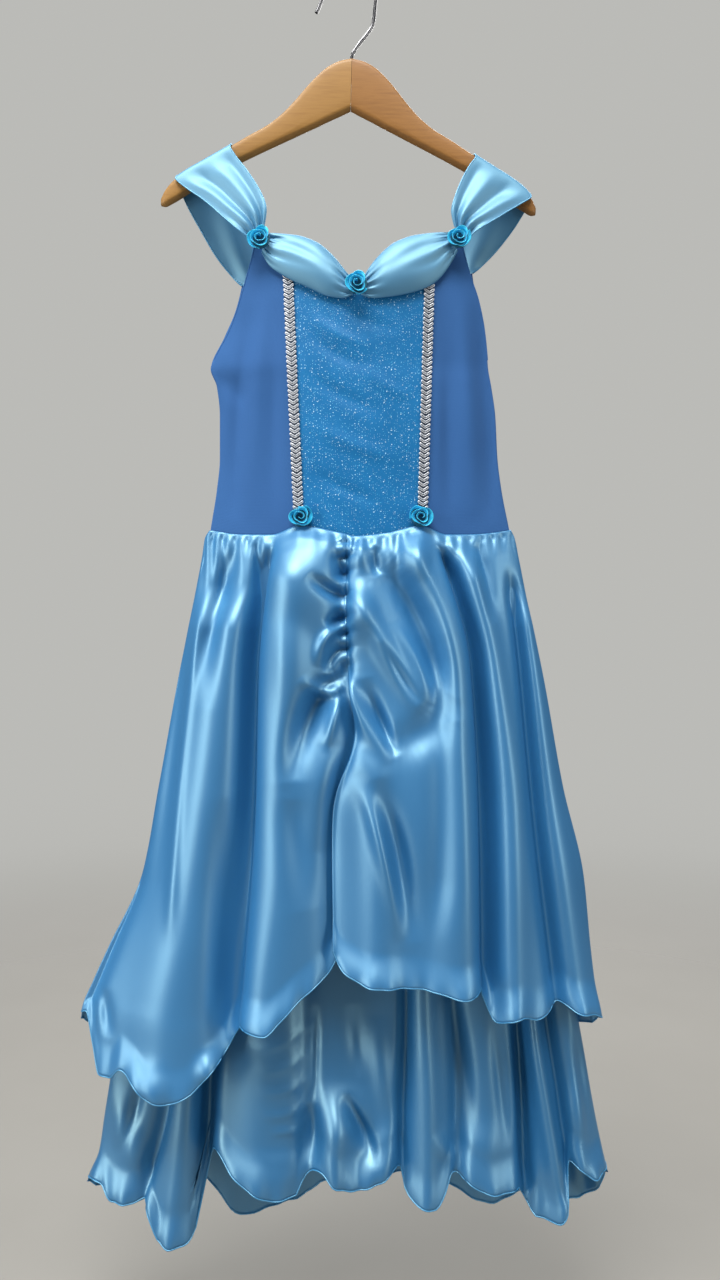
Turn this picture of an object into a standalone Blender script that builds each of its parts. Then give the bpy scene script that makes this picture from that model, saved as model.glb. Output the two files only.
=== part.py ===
"""A child's princess costume dress on its wooden hanger, in metres, +Z up, the front towards -Y.

The origin is the inside of the hook's top, where the hanger hangs on its rail. The tables are in
millimetres: x runs to the right as seen from the front, and drop is the distance below the origin.
"""

from collections import namedtuple
from math import cos, pi, radians, sin

import bmesh
import bpy
import numpy as np
from mathutils import Matrix
from mathutils.geometry import delaunay_2d_cdt

MM = 0.001
CLOTH = 1.2  # wall of every cloth panel
SEAM_GAP = 0.3  # between two pieces that are sewn together
HALF_SEAM = CLOTH / 2 + SEAM_GAP / 2
ROSETTE_RADIUS = 11.5
ROSETTE_HEIGHT = 8.0
BRAID_WIDTH = 10.6
BRAID_THICK = 1.5
WIRE_RADIUS = 1.75
HANGER_THICK = 12.0
HANGER_TILT = radians(1.4)  # the right-hand arm hangs lower

# The knit bodice: its outline, how far its side edges stand forward or back, and its swell.
BodiceRow = namedtuple("BodiceRow", "drop left right edge front back")
BODICE = (
    BodiceRow(268, -92, 104, 11.5, 4, 4),
    BodiceRow(283, -95, 108, 10, 9, 6),
    BodiceRow(304, -101, 114, 8, 14, 9),
    BodiceRow(327, -108, 122, 6, 18, 13),
    BodiceRow(354, -118, 128, 3, 21.5, 16),
    BodiceRow(380, -132, 131, 1.2, 23.5, 18),
    BodiceRow(392, -137, 132, 0.8, 24, 19),
    BodiceRow(409, -131, 135, 0.8, 24.5, 20),
    BodiceRow(438, -128, 139, 0.8, 24.5, 20),
    BodiceRow(478, -128, 141, 0.8, 24, 20),
    BodiceRow(510, -131, 145, 0.8, 23.5, 19.5),
    BodiceRow(552, -137.5, 153.2, 0.8, 23.5, 19.5),
    BodiceRow(562, -138.5, 155, 0.8, 23.5, 19.5),
)

# The back bodice has its own armholes: its shoulder corners stand further out than the front's.
EdgeRow = namedtuple("EdgeRow", "drop left right")
BACK_EDGE = (
    EdgeRow(290, -105, 117),
    EdgeRow(310, -108, 119.5),
    EdgeRow(335, -114, 125),
    EdgeRow(360, -124, 130),
    EdgeRow(392, -137, 132),
    EdgeRow(409, -131, 135),
    EdgeRow(438, -128, 139),
    EdgeRow(478, -128, 141),
    EdgeRow(510, -131, 145),
    EdgeRow(552, -137.5, 153.2),
    EdgeRow(562, -138.5, 155),
)

# Edges that run across the dress, as the drop at each x.
Level = namedtuple("Level", "x drop")
WAIST = (
    Level(-150, 549),
    Level(-134, 551),
    Level(-109, 555),
    Level(-76, 556),
    Level(-50, 548),
    Level(-10, 555),
    Level(3, 558),
    Level(33, 555),
    Level(66, 548),
    Level(90, 556),
    Level(120, 555),
    Level(160, 549),
)
NECKLINE = (
    Level(-92, 270),
    Level(-75, 280),
    Level(-52, 284),
    Level(-30, 292),
    Level(-14, 307),
    Level(5, 323),
    Level(20, 311),
    Level(39, 292),
    Level(57, 284),
    Level(85, 280),
    Level(103, 270),
)
WAIST_BACK = (
    Level(-160, 550),
    Level(-134, 551),
    Level(-60, 555),
    Level(10, 557),
    Level(80, 554),
    Level(160, 549),
)
BACK_NECKLINE = (
    Level(-108, 309),
    Level(-60, 319),
    Level(5, 323),
    Level(70, 316),
    Level(119, 296),
)

# The two seams beside the glitter panel, which the braids cover.
SeamRow = namedtuple("SeamRow", "drop left right")
PRINCESS_SEAMS = (SeamRow(282, -62, 75), SeamRow(560, -49.5, 66.5))

# The skirts hang from the waist seam: fall is the distance below it, square the section's form.
SkirtRow = namedtuple("SkirtRow", "fall left right front back square edge")
OVERSKIRT = (
    SkirtRow(0, -138.3, 154.0, 24.3, 20.3, 0.95, 0.75),
    SkirtRow(8, -142.5, 157.5, 31, 26, 0.85, 0.7),
    SkirtRow(25, -145, 161, 38, 31, 0.7, 0.5),
    SkirtRow(68, -153, 169.5, 45, 34, 0.6, 0.35),
    SkirtRow(148, -169, 186, 51, 36, 0.55, 0.25),
    SkirtRow(248, -187, 204, 57, 39, 0.55, 0.25),
    SkirtRow(333, -203, 224, 61, 42, 0.55, 0.25),
    SkirtRow(405, -236, 231, 63, 44, 0.55, 0.25),
    SkirtRow(438, -251, 235, 64, 45, 0.55, 0.25),
    SkirtRow(466, -262, 240, 65, 46, 0.55, 0.25),
    SkirtRow(540, -268, 248, 66, 47, 0.55, 0.25),
)
UNDERSKIRT = (
    SkirtRow(0, -133.5, 149.2, 22.8, 18.8, 0.95, 0.75),
    SkirtRow(8, -134, 149.8, 20.5, 17.5, 0.9, 0.75),
    SkirtRow(25, -137.5, 153, 17.5, 16.5, 0.8, 0.7),
    SkirtRow(68, -147, 163.5, 15, 17, 0.7, 0.65),
    SkirtRow(148, -162, 180, 14, 20, 0.6, 0.6),
    SkirtRow(248, -180, 196, 15, 23, 0.55, 0.6),
    SkirtRow(348, -197, 210, 18, 26, 0.55, 0.6),
    SkirtRow(452, -222, 217, 25, 30, 0.55, 0.5),
    SkirtRow(508, -231, 226, 33, 32, 0.55, 0.4),
    SkirtRow(565, -240, 236, 40, 34, 0.55, 0.35),
    SkirtRow(598, -245, 243, 44, 35, 0.55, 0.35),
    SkirtRow(630, -257, 250, 47, 36, 0.55, 0.35),
    SkirtRow(690, -259, 254, 49, 37, 0.55, 0.35),
)

# Hems, each a row for every dip and rise of the wavy edge.
OVER_HEM_LEFT = (
    Level(-268, 1018),
    Level(-256, 1012),
    Level(-247, 1038),
    Level(-237, 1062),
    Level(-226, 1062),
    Level(-213, 1050),
    Level(-200, 1056),
    Level(-187, 1067),
    Level(-167, 1073),
    Level(-147, 1067),
    Level(-131, 1051),
    Level(-116, 1034),
    Level(-104, 1014),
    Level(-96, 1007),
    Level(-78, 1008),
    Level(-64, 997),
    Level(-49, 982),
    Level(-34, 970),
    Level(-21, 959),
    Level(-12, 944),
)
OVER_HEM_RIGHT = (
    Level(-14, 938),
    Level(-8, 948),
    Level(0, 957),
    Level(16, 966),
    Level(49, 969),
    Level(75, 973),
    Level(104, 978),
    Level(116, 974),
    Level(122, 986),
    Level(133, 1006),
    Level(144, 1002),
    Level(156, 999),
    Level(171, 1005),
    Level(183, 1002),
    Level(195, 995),
    Level(211, 1002),
    Level(228, 1006),
    Level(244, 1019),
)
OVER_HEM_BACK = (
    Level(-268, 1018),
    Level(-235, 1040),
    Level(-190, 1028),
    Level(-140, 1046),
    Level(-95, 1030),
    Level(-50, 1047),
    Level(0, 1034),
    Level(45, 1048),
    Level(95, 1032),
    Level(140, 1044),
    Level(190, 1026),
    Level(222, 1034),
    Level(244, 1019),
)
UNDER_HEM_FRONT = (
    Level(-260, 1178),
    Level(-248, 1171),
    Level(-239, 1173),
    Level(-226, 1185),
    Level(-209, 1185),
    Level(-194, 1181),
    Level(-186, 1192),
    Level(-179, 1209),
    Level(-167, 1214),
    Level(-154, 1213),
    Level(-145, 1205),
    Level(-138, 1162),
    Level(-128, 1131),
    Level(-110, 1147),
    Level(-87, 1161),
    Level(-70, 1168),
    Level(-52, 1167),
    Level(-43, 1150),
    Level(-29, 1141),
    Level(-15, 1151),
    Level(8, 1157),
    Level(28, 1152),
    Level(44, 1144),
    Level(51, 1160),
    Level(61, 1172),
    Level(77, 1175),
    Level(87, 1163),
    Level(93, 1150),
    Level(105, 1154),
    Level(120, 1162),
    Level(140, 1166),
    Level(155, 1166),
    Level(163, 1182),
    Level(174, 1195),
    Level(191, 1195),
    Level(200, 1186),
    Level(205, 1146),
    Level(214, 1151),
    Level(231, 1162),
    Level(241, 1160),
    Level(252, 1164),
)
UNDER_HEM_BACK = (
    Level(-260, 1178),
    Level(-215, 1205),
    Level(-150, 1190),
    Level(-107, 1228),
    Level(-60, 1222),
    Level(-20, 1195),
    Level(40, 1192),
    Level(90, 1196),
    Level(145, 1217),
    Level(190, 1200),
    Level(225, 1208),
    Level(252, 1164),
)

# Folds. out is how far a ridge stands out, or a trough goes in if it is below zero. x0 to x3 are its
# places at the four heights of its skirt, left and right its half-widths at the top, flare how many
# times wider it is at the hem, lap how far its left (-) or right (+) lip laps over the trough, and
# begin and end the drops between which it shows.
Fold = namedtuple("Fold", "name out x0 x1 x2 x3 left right flare lap begin end")
OVER_HEIGHTS = (560, 680, 820, 1000)
OVER_FOLDS = (
    Fold("left edge valley", -10, -150, -168, -190, -252, 7, 7, 1.3, 0, 860, 1200),
    Fold("left flute crest", 13, -118, -126, -142, -172, 26, 26, 1.6, 0, 600, 1200),
    Fold("left waist trough", -8, -114, -138, -150, -160, 8, 8, 1.2, 0, 552, 705),
    Fold("left rim ridge", 4, -136, -150, -163, -170, 5, 5, 1.3, 0, 600, 940),
    Fold("left deep valley", -27, -75, -89, -93, -106, 10, 7, 1.9, 5, 552, 1200),
    Fold("left centre ridge", 7, -64, -57, -55, -78, 9, 9, 1.4, 0, 556, 1100),
    Fold("centre seam valley", -18, -1, -1, -15, -12, 10, 8, 1.3, 4, 545, 1200),
    Fold("slanting ridge", 10, 17, 53, 104, 150, 7, 7, 1.2, 0, 566, 735),
    Fold("slanting trough", -9, 31, 75, 83, 78, 11, 11, 1.3, 0, 566, 930),
    Fold("right centre ridge", 9, 58, 92, 101, 104, 10, 10, 1.4, 0, 552, 1100),
    Fold("seam end ridge", 7, -2, -3, 27, 36, 6, 7, 1.4, 0, 680, 935),
    Fold("seam end ridge two", 5, 4, 16, 50, 60, 5, 5, 1.2, 0, 660, 800),
    Fold("right deep valley", -25, 82, 113, 120, 122, 6, 10, 1.6, -4, 552, 1200),
    Fold("right flute crest", 10, 107, 130, 149, 148, 12, 12, 1.5, 0, 556, 1200),
    Fold("right narrow valley", -15, 148, 161, 172, 194, 5, 6, 1.6, 0, 580, 1200),
    Fold("right edge crest", 8, 156, 173, 192, 218, 9, 9, 1.7, 0, 600, 1200),
)
UNDER_HEIGHTS = (900, 1000, 1100, 1180)
UNDER_FOLDS = (
    Fold("left flute", 13, -150, -153, -158, -166, 13, 13, 1.2, 0, 960, 1300),
    Fold("left flute valley", -13, -155, -162, -174, -196, 10, 7, 1.1, 3, 960, 1300),
    Fold("open gap", -26, -125, -129, -137, -137, 8, 8, 1.1, 0, 940, 1300),
    Fold("broad front", 11, -80, -84, -88, -92, 24, 24, 1.2, 0, 940, 1300),
    Fold("middle trough", -7, -46, -44, -42, -42, 10, 10, 1.0, 0, 930, 1300),
    Fold("turned-up wave", 17, -2, -4, -10, -20, 12, 14, 1.6, 0, 1065, 1300),
    Fold("right flute valley", -14, 52, 53, 49, 45, 7, 7, 1.1, 3, 930, 1300),
    Fold("right flute", 15, 64, 67, 71, 71, 12, 12, 1.2, 0, 930, 1300),
    Fold("right flute end", -10, 94, 97, 100, 97, 7, 7, 1.1, 0, 930, 1300),
    Fold("broad right", 6, 125, 126, 128, 130, 17, 17, 1.2, 0, 950, 1300),
    Fold("right open gap", -20, 156, 159, 163, 164, 6, 6, 1.1, 0, 960, 1300),
    Fold("narrow flute", 18, 164, 168, 183, 196, 8, 9, 1.3, 0, 960, 1300),
    Fold("right valley", -10, 176, 184, 197, 207, 6, 6, 1.1, 0, 960, 1300),
    Fold("right flute crest", 8, 200, 206, 216, 230, 12, 10, 1.2, 0, 960, 1300),
)

# Soft round swellings beside the ruched seam, turned by lean degrees.
Puff = namedtuple("Puff", "x drop out across down lean")
PUFFS = (
    Puff(-38, 612, 13, 24, 46, 0),
    Puff(-26, 690, 7, 16, 26, -25),
    Puff(18, 600, 9, 13, 22, 8),
    Puff(34, 706, -10, 17, 34, 28),
    Puff(52, 600, -7, 15, 30, 20),
)

GATHER_PITCH = 12.0
GATHER_OUT = 2.4
GATHER_FALL = 26.0
RUCHE_PITCH = 17.5
RUCHE_OUT = 4.2
RUCHE_TOP, RUCHE_END = 560.0, 672.0
RUCHE_REACH = 13.0
HEM_KICK, HEM_KICK_HEIGHT = 6.0, 34.0
OVER_BELOW, UNDER_BELOW = 0.9, 2.6  # from the waist seam down to the skirts' top edges
LAYER_CLEAR = 3.2  # between the middles of two layers of cloth
HALF_GAP_SHARE = 0.0013  # of the front's width, from the centre seam to each front panel's edge
BACK_FLUTES, BACK_FLUTE_TOP, BACK_FLUTE_HEM = 9, 3.0, 9.0

# Where a panel is sampled: an even grid over each stretch of it, from its side seam and its top.
Band = namedtuple("Band", "u0 u1 v0 v1 columns rows")


def clear_scene():
    for thing in list(bpy.data.objects):
        bpy.data.objects.remove(thing, do_unlink=True)


def column(table, name):
    return np.array([getattr(row, name) for row in table], float)


def smooth(at, stations, values):
    """A cubic curve through the stations that doesn't swing past them."""
    steps = np.diff(stations)
    slopes = np.diff(values) / steps
    products, sums = slopes[:-1] * slopes[1:], slopes[:-1] + slopes[1:]
    inner = np.where(products > 0, 2 * products / np.where(sums == 0, 1, sums), 0)
    tangents = np.concatenate([slopes[:1], inner, slopes[-1:]])
    at = np.clip(at, stations[0], stations[-1])
    i = np.clip(np.searchsorted(stations, at) - 1, 0, len(steps) - 1)
    t = (at - stations[i]) / steps[i]
    return (
        (2 * t**3 - 3 * t**2 + 1) * values[i]
        + (t**3 - 2 * t**2 + t) * steps[i] * tangents[i]
        + (3 * t**2 - 2 * t**3) * values[i + 1]
        + (t**3 - t**2) * steps[i] * tangents[i + 1]
    )


def read(table, at, name, by="drop"):
    return smooth(at, column(table, by), column(table, name))


def level(table, x):
    return smooth(x, column(table, "x"), column(table, "drop"))


def rise(t):
    t = np.clip(t, 0, 1)
    return t * t * (3 - 2 * t)


def path(fold, drop, heights):
    places = np.array([fold.x0, fold.x1, fold.x2, fold.x3], float)
    return smooth(drop, np.array(heights, float), places)


def folded(folds, heights, x, drop):
    """How far the folds carry a point outwards and sideways."""
    outwards, sideways = np.zeros_like(x), np.zeros_like(x)
    for fold in folds:
        centre = path(fold, drop, heights)
        down = np.clip((drop - heights[0]) / (heights[-1] - heights[0]), 0, 1)
        width = np.where(x < centre, fold.left, fold.right) * (1 + (fold.flare - 1) * down)
        away = (x - centre) / width
        shown = rise((drop - fold.begin) / 45) * (1 - rise((drop - fold.end + 60) / 60))
        outwards += fold.out * shown * np.exp(-(away**2))
        lip = fold.lap * away > 0
        sideways -= lip * fold.lap * shown * away**2 * np.exp(1 - away**2)
    return outwards, sideways


def puffed(x, drop):
    total = np.zeros_like(x)
    for puff in PUFFS:
        turn = radians(puff.lean)
        across = (x - puff.x) * cos(turn) - (drop - puff.drop) * sin(turn)
        down = (x - puff.x) * sin(turn) + (drop - puff.drop) * cos(turn)
        total += puff.out * np.exp(-((across / puff.across) ** 2) - (down / puff.down) ** 2)
    return total


def gathered(x, fall):
    """The small even gathers under the waist seam."""
    turns = x / GATHER_PITCH + 0.3 * np.sin(x / 19)
    return GATHER_OUT * np.cos(2 * pi * turns) * rise(fall / 9) * np.exp(-fall / GATHER_FALL)


def ruched(from_seam, drop):
    """The cross gathers of the drawn-up centre seam."""
    shown = rise((drop - RUCHE_TOP + 8) / 12) * (1 - rise((drop - RUCHE_END) / 12))
    wave = np.cos(2 * pi * (drop - RUCHE_TOP) / RUCHE_PITCH)
    return RUCHE_OUT * shown * wave * np.exp(-((from_seam / RUCHE_REACH) ** 2))


def centre_seam(drop):
    seam = next(fold for fold in OVER_FOLDS if fold.name == "centre seam valley")
    return path(seam, drop, OVER_HEIGHTS)


def skirt_section(rows, fall, from_edge):
    """x, depth share, and the row's values for a point that is from_edge (0 to 1) round a skirt's half."""
    left, right = (read(rows, fall, side, "fall") for side in ("left", "right"))
    across = np.sin(pi * (from_edge - 0.5))
    x = (left + right) / 2 + (right - left) / 2 * across
    round_share = np.maximum(1 - across**2, 0) ** read(rows, fall, "square", "fall")
    return x, round_share


def skirt(rows, hem, side, u, v, below, span=lambda fall: (0.0, 1.0)):
    """Base form of a skirt panel whose top is below the waist seam by that much: x, depth, drop and fall."""
    waist = WAIST if side == "front" else WAIST_BACK
    fall = v * 450.0
    for _ in range(6):
        first, last = span(fall)
        x, round_share = skirt_section(rows, fall, first + (last - first) * u)
        top = level(waist, x) + below
        fall = v * (level(hem, x) - top)
    depth = read(rows, fall, side, "fall") * round_share + read(rows, fall, "edge", "fall")
    return x, depth, top + fall, fall


def base_depth(rows, side, x, fall):
    left, right = (read(rows, fall, name, "fall") for name in ("left", "right"))
    across = np.clip((x - (left + right) / 2) / ((right - left) / 2), -1, 1)
    swell = read(rows, fall, side, "fall") * (1 - across**2) ** read(rows, fall, "square", "fall")
    return swell + read(rows, fall, "edge", "fall")


def held_out(depth, base, least):
    """Cloth keeps in front of what lies under it, and near a side seam in front of its own base form."""
    return np.maximum(depth, np.minimum(base, least))


def near_edges(u):
    """Zero at a panel's side seams, and one a little way in."""
    return rise(u / 0.06) * rise((1 - u) / 0.06)


def seam_share(fall):
    """Where the centre seam lies, as a share of the front half's width."""
    left, right = (read(OVERSKIRT, fall, side, "fall") for side in ("left", "right"))
    middle, half = (left + right) / 2, (right - left) / 2
    return np.arcsin((centre_seam(fall + 555) - middle) / half) / pi + 0.5


def overskirt_front(side, u, v):
    """A front panel of the overskirt: the left one's u runs from the side seam to the middle."""
    hem = OVER_HEM_LEFT if side < 0 else OVER_HEM_RIGHT

    def span(fall):
        share = seam_share(fall)
        return (0, share - HALF_GAP_SHARE) if side < 0 else (share + HALF_GAP_SHARE, 1)

    x, base, drop, fall = skirt(OVERSKIRT, hem, "front", u, v, OVER_BELOW, span)
    from_side = u if side < 0 else 1 - u
    calm = rise(from_side / 0.1)
    outwards, sideways = folded(OVER_FOLDS, OVER_HEIGHTS, x, drop)
    outwards = outwards * rise(fall / 26) + puffed(x, drop) * rise(fall / 30) + gathered(x, fall)
    outwards += ruched(x - centre_seam(drop), drop) * rise(fall / 12)
    outwards += HEM_KICK * (1 - rise((level(hem, x) - drop) / HEM_KICK_HEIGHT))
    under = base_depth(UNDERSKIRT, "front", x, fall) + LAYER_CLEAR
    return x + sideways * calm, -held_out(base + outwards * calm, base, under), -drop


def overskirt_back(u, v):
    x, base, drop, fall = skirt(OVERSKIRT, OVER_HEM_BACK, "back", u, v, OVER_BELOW)
    height = BACK_FLUTE_TOP + (BACK_FLUTE_HEM - BACK_FLUTE_TOP) * fall / 500
    flutes = height * np.cos(2 * pi * BACK_FLUTES * (u + 0.012 * np.sin(9 * u))) * rise(fall / 60)
    under = base_depth(UNDERSKIRT, "back", x, fall) + LAYER_CLEAR
    return x, held_out(base + (flutes + gathered(x, fall)) * near_edges(u), base, under), -drop


def underskirt_front(u, v):
    x, base, drop, fall = skirt(UNDERSKIRT, UNDER_HEM_FRONT, "front", u, v, UNDER_BELOW)
    outwards, sideways = folded(UNDER_FOLDS, UNDER_HEIGHTS, x, drop)
    outwards += HEM_KICK * (1 - rise((level(UNDER_HEM_FRONT, x) - drop) / HEM_KICK_HEIGHT))
    calm = near_edges(u)
    return x + sideways * calm, -held_out(base + outwards * calm, base, LAYER_CLEAR), -drop


def underskirt_back(u, v):
    x, base, drop, fall = skirt(UNDERSKIRT, UNDER_HEM_BACK, "back", u, v, UNDER_BELOW)
    height = BACK_FLUTE_HEM * rise((fall - 470) / 160)
    flutes = height * np.cos(2 * pi * (BACK_FLUTES - 2) * (u + 0.015 * np.sin(7 * u)))
    return x, held_out(base + flutes * near_edges(u), base, LAYER_CLEAR), -drop


def bodice_depth(x, drop, side):
    """How far the bodice stands from the dress's middle plane."""
    left, right = (read(BODICE, drop, name) for name in ("left", "right"))
    across = (x - (left + right) / 2) / ((right - left) / 2)
    swell = read(BODICE, drop, side) * np.maximum(1 - across**2, 0) ** 0.95
    return read(BODICE, drop, "edge") + swell


def princess_seam(drop, name):
    return read(PRINCESS_SEAMS, drop, name)


def bodice_side(side, u, v):
    """A knit side panel, from its side seam and armhole to the princess seam, up to its pointed top."""
    drop = 550 + v * (270 - 550)
    name = "left" if side < 0 else "right"
    for _ in range(4):
        outer = read(BODICE, drop, name)
        inner = princess_seam(drop, name) + side * SEAM_GAP / 2
        neck_levels = NECKLINE[:3] if side < 0 else NECKLINE[:-4:-1]
        neck = smooth(drop, column(neck_levels, "drop"), column(neck_levels, "x"))
        above = drop < neck_levels[-1].drop
        inner = np.where(above, np.where(side < 0, np.minimum(neck, inner), np.maximum(neck, inner)), inner)
        x = outer + (inner - outer) * u
        bottom = level(WAIST, x) - SEAM_GAP
        drop = bottom + v * (270 - bottom)
    return x, -bodice_depth(x, drop, "front"), -drop


def bodice_centre(u, v):
    """The glitter panel between the princess seams."""
    drop = 550 - 250 * v
    for _ in range(4):
        left = princess_seam(drop, "left") + SEAM_GAP / 2
        right = princess_seam(drop, "right") - SEAM_GAP / 2
        x = left + (right - left) * u
        bottom = level(WAIST, x) - SEAM_GAP
        drop = bottom + v * (level(NECKLINE, x) - bottom)
    return x, -bodice_depth(x, drop, "front"), -drop


def bodice_back(u, v):
    drop = 550 - 240 * v
    for _ in range(4):
        left, right = (read(BACK_EDGE, drop, name) for name in ("left", "right"))
        x = left + (right - left) * u
        bottom = level(WAIST_BACK, x) - SEAM_GAP
        drop = bottom + v * (level(BACK_NECKLINE, x) - bottom)
    return x, back_depth(x, drop), -drop


def back_depth(x, drop):
    left, right = (read(BACK_EDGE, drop, name) for name in ("left", "right"))
    across = np.clip((x - (left + right) / 2) / ((right - left) / 2), -1, 1)
    return read(BODICE, drop, "edge") + read(BODICE, drop, "back") * (1 - across**2) ** 0.95


def braid(side, u, v):
    """A braid lies on the bodice along a princess seam, moved out clear of it."""
    name = "left" if side < 0 else "right"
    top, end = 297.0, 532.0
    drop = end + (top - end) * v
    x = princess_seam(drop, name) + BRAID_WIDTH * (u - 0.5)
    out = CLOTH / 2 + SEAM_GAP + BRAID_THICK / 2 + 0.4
    return x, -(bodice_depth(x, drop, "front") + out), -drop


# The neck swags: each runs from a shoulder rosette to the middle one between these two edges.
SwagRow = namedtuple("SwagRow", "upper_x upper_drop lower_x lower_drop puff")
SWAG_LEFT = (
    SwagRow(-80, 266, -86.5, 284, 1.5),
    SwagRow(-68, 267, -79, 297, 6),
    SwagRow(-52, 269, -62, 310, 9),
    SwagRow(-34, 276, -41, 321, 10),
    SwagRow(-19, 289, -22, 330, 8),
    SwagRow(-8, 303, -8, 332, 4.5),
    SwagRow(-0.5, 313, 1.0, 329, 1.5),
)
SWAG_RIGHT = (
    SwagRow(95, 265, 101, 283, 1.5),
    SwagRow(81, 266, 94, 296, 6),
    SwagRow(60, 269, 80, 314, 9),
    SwagRow(42, 276, 62, 324, 10.5),
    SwagRow(27, 289, 38, 330, 9),
    SwagRow(17, 302, 21, 332, 5),
    SwagRow(10.5, 313, 9, 329, 1.5),
)
SWAG_PLEATS = 4

# The shoulder straps: from the rosette up over the hanger and down to the back bodice.
StrapRow = namedtuple("StrapRow", "outer_x outer_drop inner_x inner_drop out")
STRAP_LEFT_FRONT = (
    StrapRow(-98, 272.5, -84, 263, -20),
    StrapRow(-108, 265, -81.5, 245, -21.5),
    StrapRow(-122, 252, -87, 228, -19),
    StrapRow(-141, 234, -100, 206, -14),
    StrapRow(-158, 221, -110, 192, -10),
)
STRAP_LEFT_BACK = (
    StrapRow(-160, 232, -110, 198, 9),
    StrapRow(-150, 250, -104, 220, 10.5),
    StrapRow(-134, 277, -96, 250, 12.5),
    StrapRow(-117, 298, -88, 284, 14),
    StrapRow(-107.5, 308, -76, 316, 14.5),
)
STRAP_RIGHT_FRONT = (
    StrapRow(111, 272.5, 98, 262, -20),
    StrapRow(120, 265, 95, 247, -21.5),
    StrapRow(133, 256, 99, 231, -19),
    StrapRow(150, 244, 106, 213, -14),
    StrapRow(163, 235, 113, 199, -10),
)
STRAP_RIGHT_BACK = (
    StrapRow(164, 243, 114, 207, 9),
    StrapRow(155, 256, 109, 226, 10.5),
    StrapRow(141, 273, 102, 250, 12.5),
    StrapRow(127, 287, 95, 276, 14),
    StrapRow(118.5, 296, 88, 312, 14.5),
)
STRAP_TOP_LEFT, STRAP_TOP_RIGHT = (-169.0, -117.0), (172.0, 119.0)
STRAP_CLEAR = 2.2  # from the wood to the middle of the strap's cloth
STRAP_ARC = 5  # cross-sections over the top of the hanger

# The hanger's arm, from the mitre at the middle out to the shoulder end, as vertical sections.
ArmRow = namedtuple("ArmRow", "out top bottom thick")
ARM = (
    ArmRow(0, 91.5, 141, 12),
    ArmRow(11, 94, 146.5, 12),
    ArmRow(22, 99.5, 151.8, 12),
    ArmRow(32, 108, 157, 12),
    ArmRow(43, 120, 162.3, 12),
    ArmRow(54, 133.5, 167.8, 12),
    ArmRow(66, 146.5, 173.7, 12),
    ArmRow(80, 158, 180.6, 12),
    ArmRow(97, 168, 189.2, 12),
    ArmRow(118, 181, 200.5, 12),
    ArmRow(142, 195.5, 215.5, 12),
    ArmRow(160, 206.5, 228, 12),
    ArmRow(171, 215, 235, 11.5),
    ArmRow(178, 224, 238.5, 9.5),
    ArmRow(181.5, 231, 238, 5),
)
ARM_CORNER = 5.0
ARM_CORNER_STEPS = 3
HOOK_RADIUS = 26.5
HOOK_CENTRE_X = -2.0
SHAFT_DEPTH = 24.0


def swag(side, u, v):
    """u runs from the shoulder rosette to the middle, v from the upper edge to the lower one."""
    rows = SWAG_LEFT if side < 0 else SWAG_RIGHT
    stations = np.arange(len(rows), dtype=float)
    at = u * (len(rows) - 1)
    upper_x, upper_drop, lower_x, lower_drop, puff = (
        smooth(at, stations, column(rows, name)) for name in SwagRow._fields
    )
    x = upper_x + (lower_x - upper_x) * v
    drop = upper_drop + (lower_drop - upper_drop) * v
    ends = np.maximum(1 - rise(u / 0.34), 1 - rise((1 - u) / 0.34))
    pleats = (0.4 + 1.2 * ends) * np.cos(2 * pi * SWAG_PLEATS * v)
    body = puff * np.sin(pi * np.clip(v, 0.001, 0.999)) ** 0.7
    clear = CLOTH + SEAM_GAP + 1.7
    return x, -(bodice_depth(x, drop, "front") + clear + body + pleats), -drop


def arm_top(x):
    """The tilted hanger's top edge, as the drop at x."""
    along = x
    for _ in range(4):
        top = smooth(np.abs(along), column(ARM, "out"), column(ARM, "top")) - ARM[0].top
        along = (x + top * sin(HANGER_TILT)) / cos(HANGER_TILT)
    return ARM[0].top + along * sin(HANGER_TILT) + top * cos(HANGER_TILT)


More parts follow.
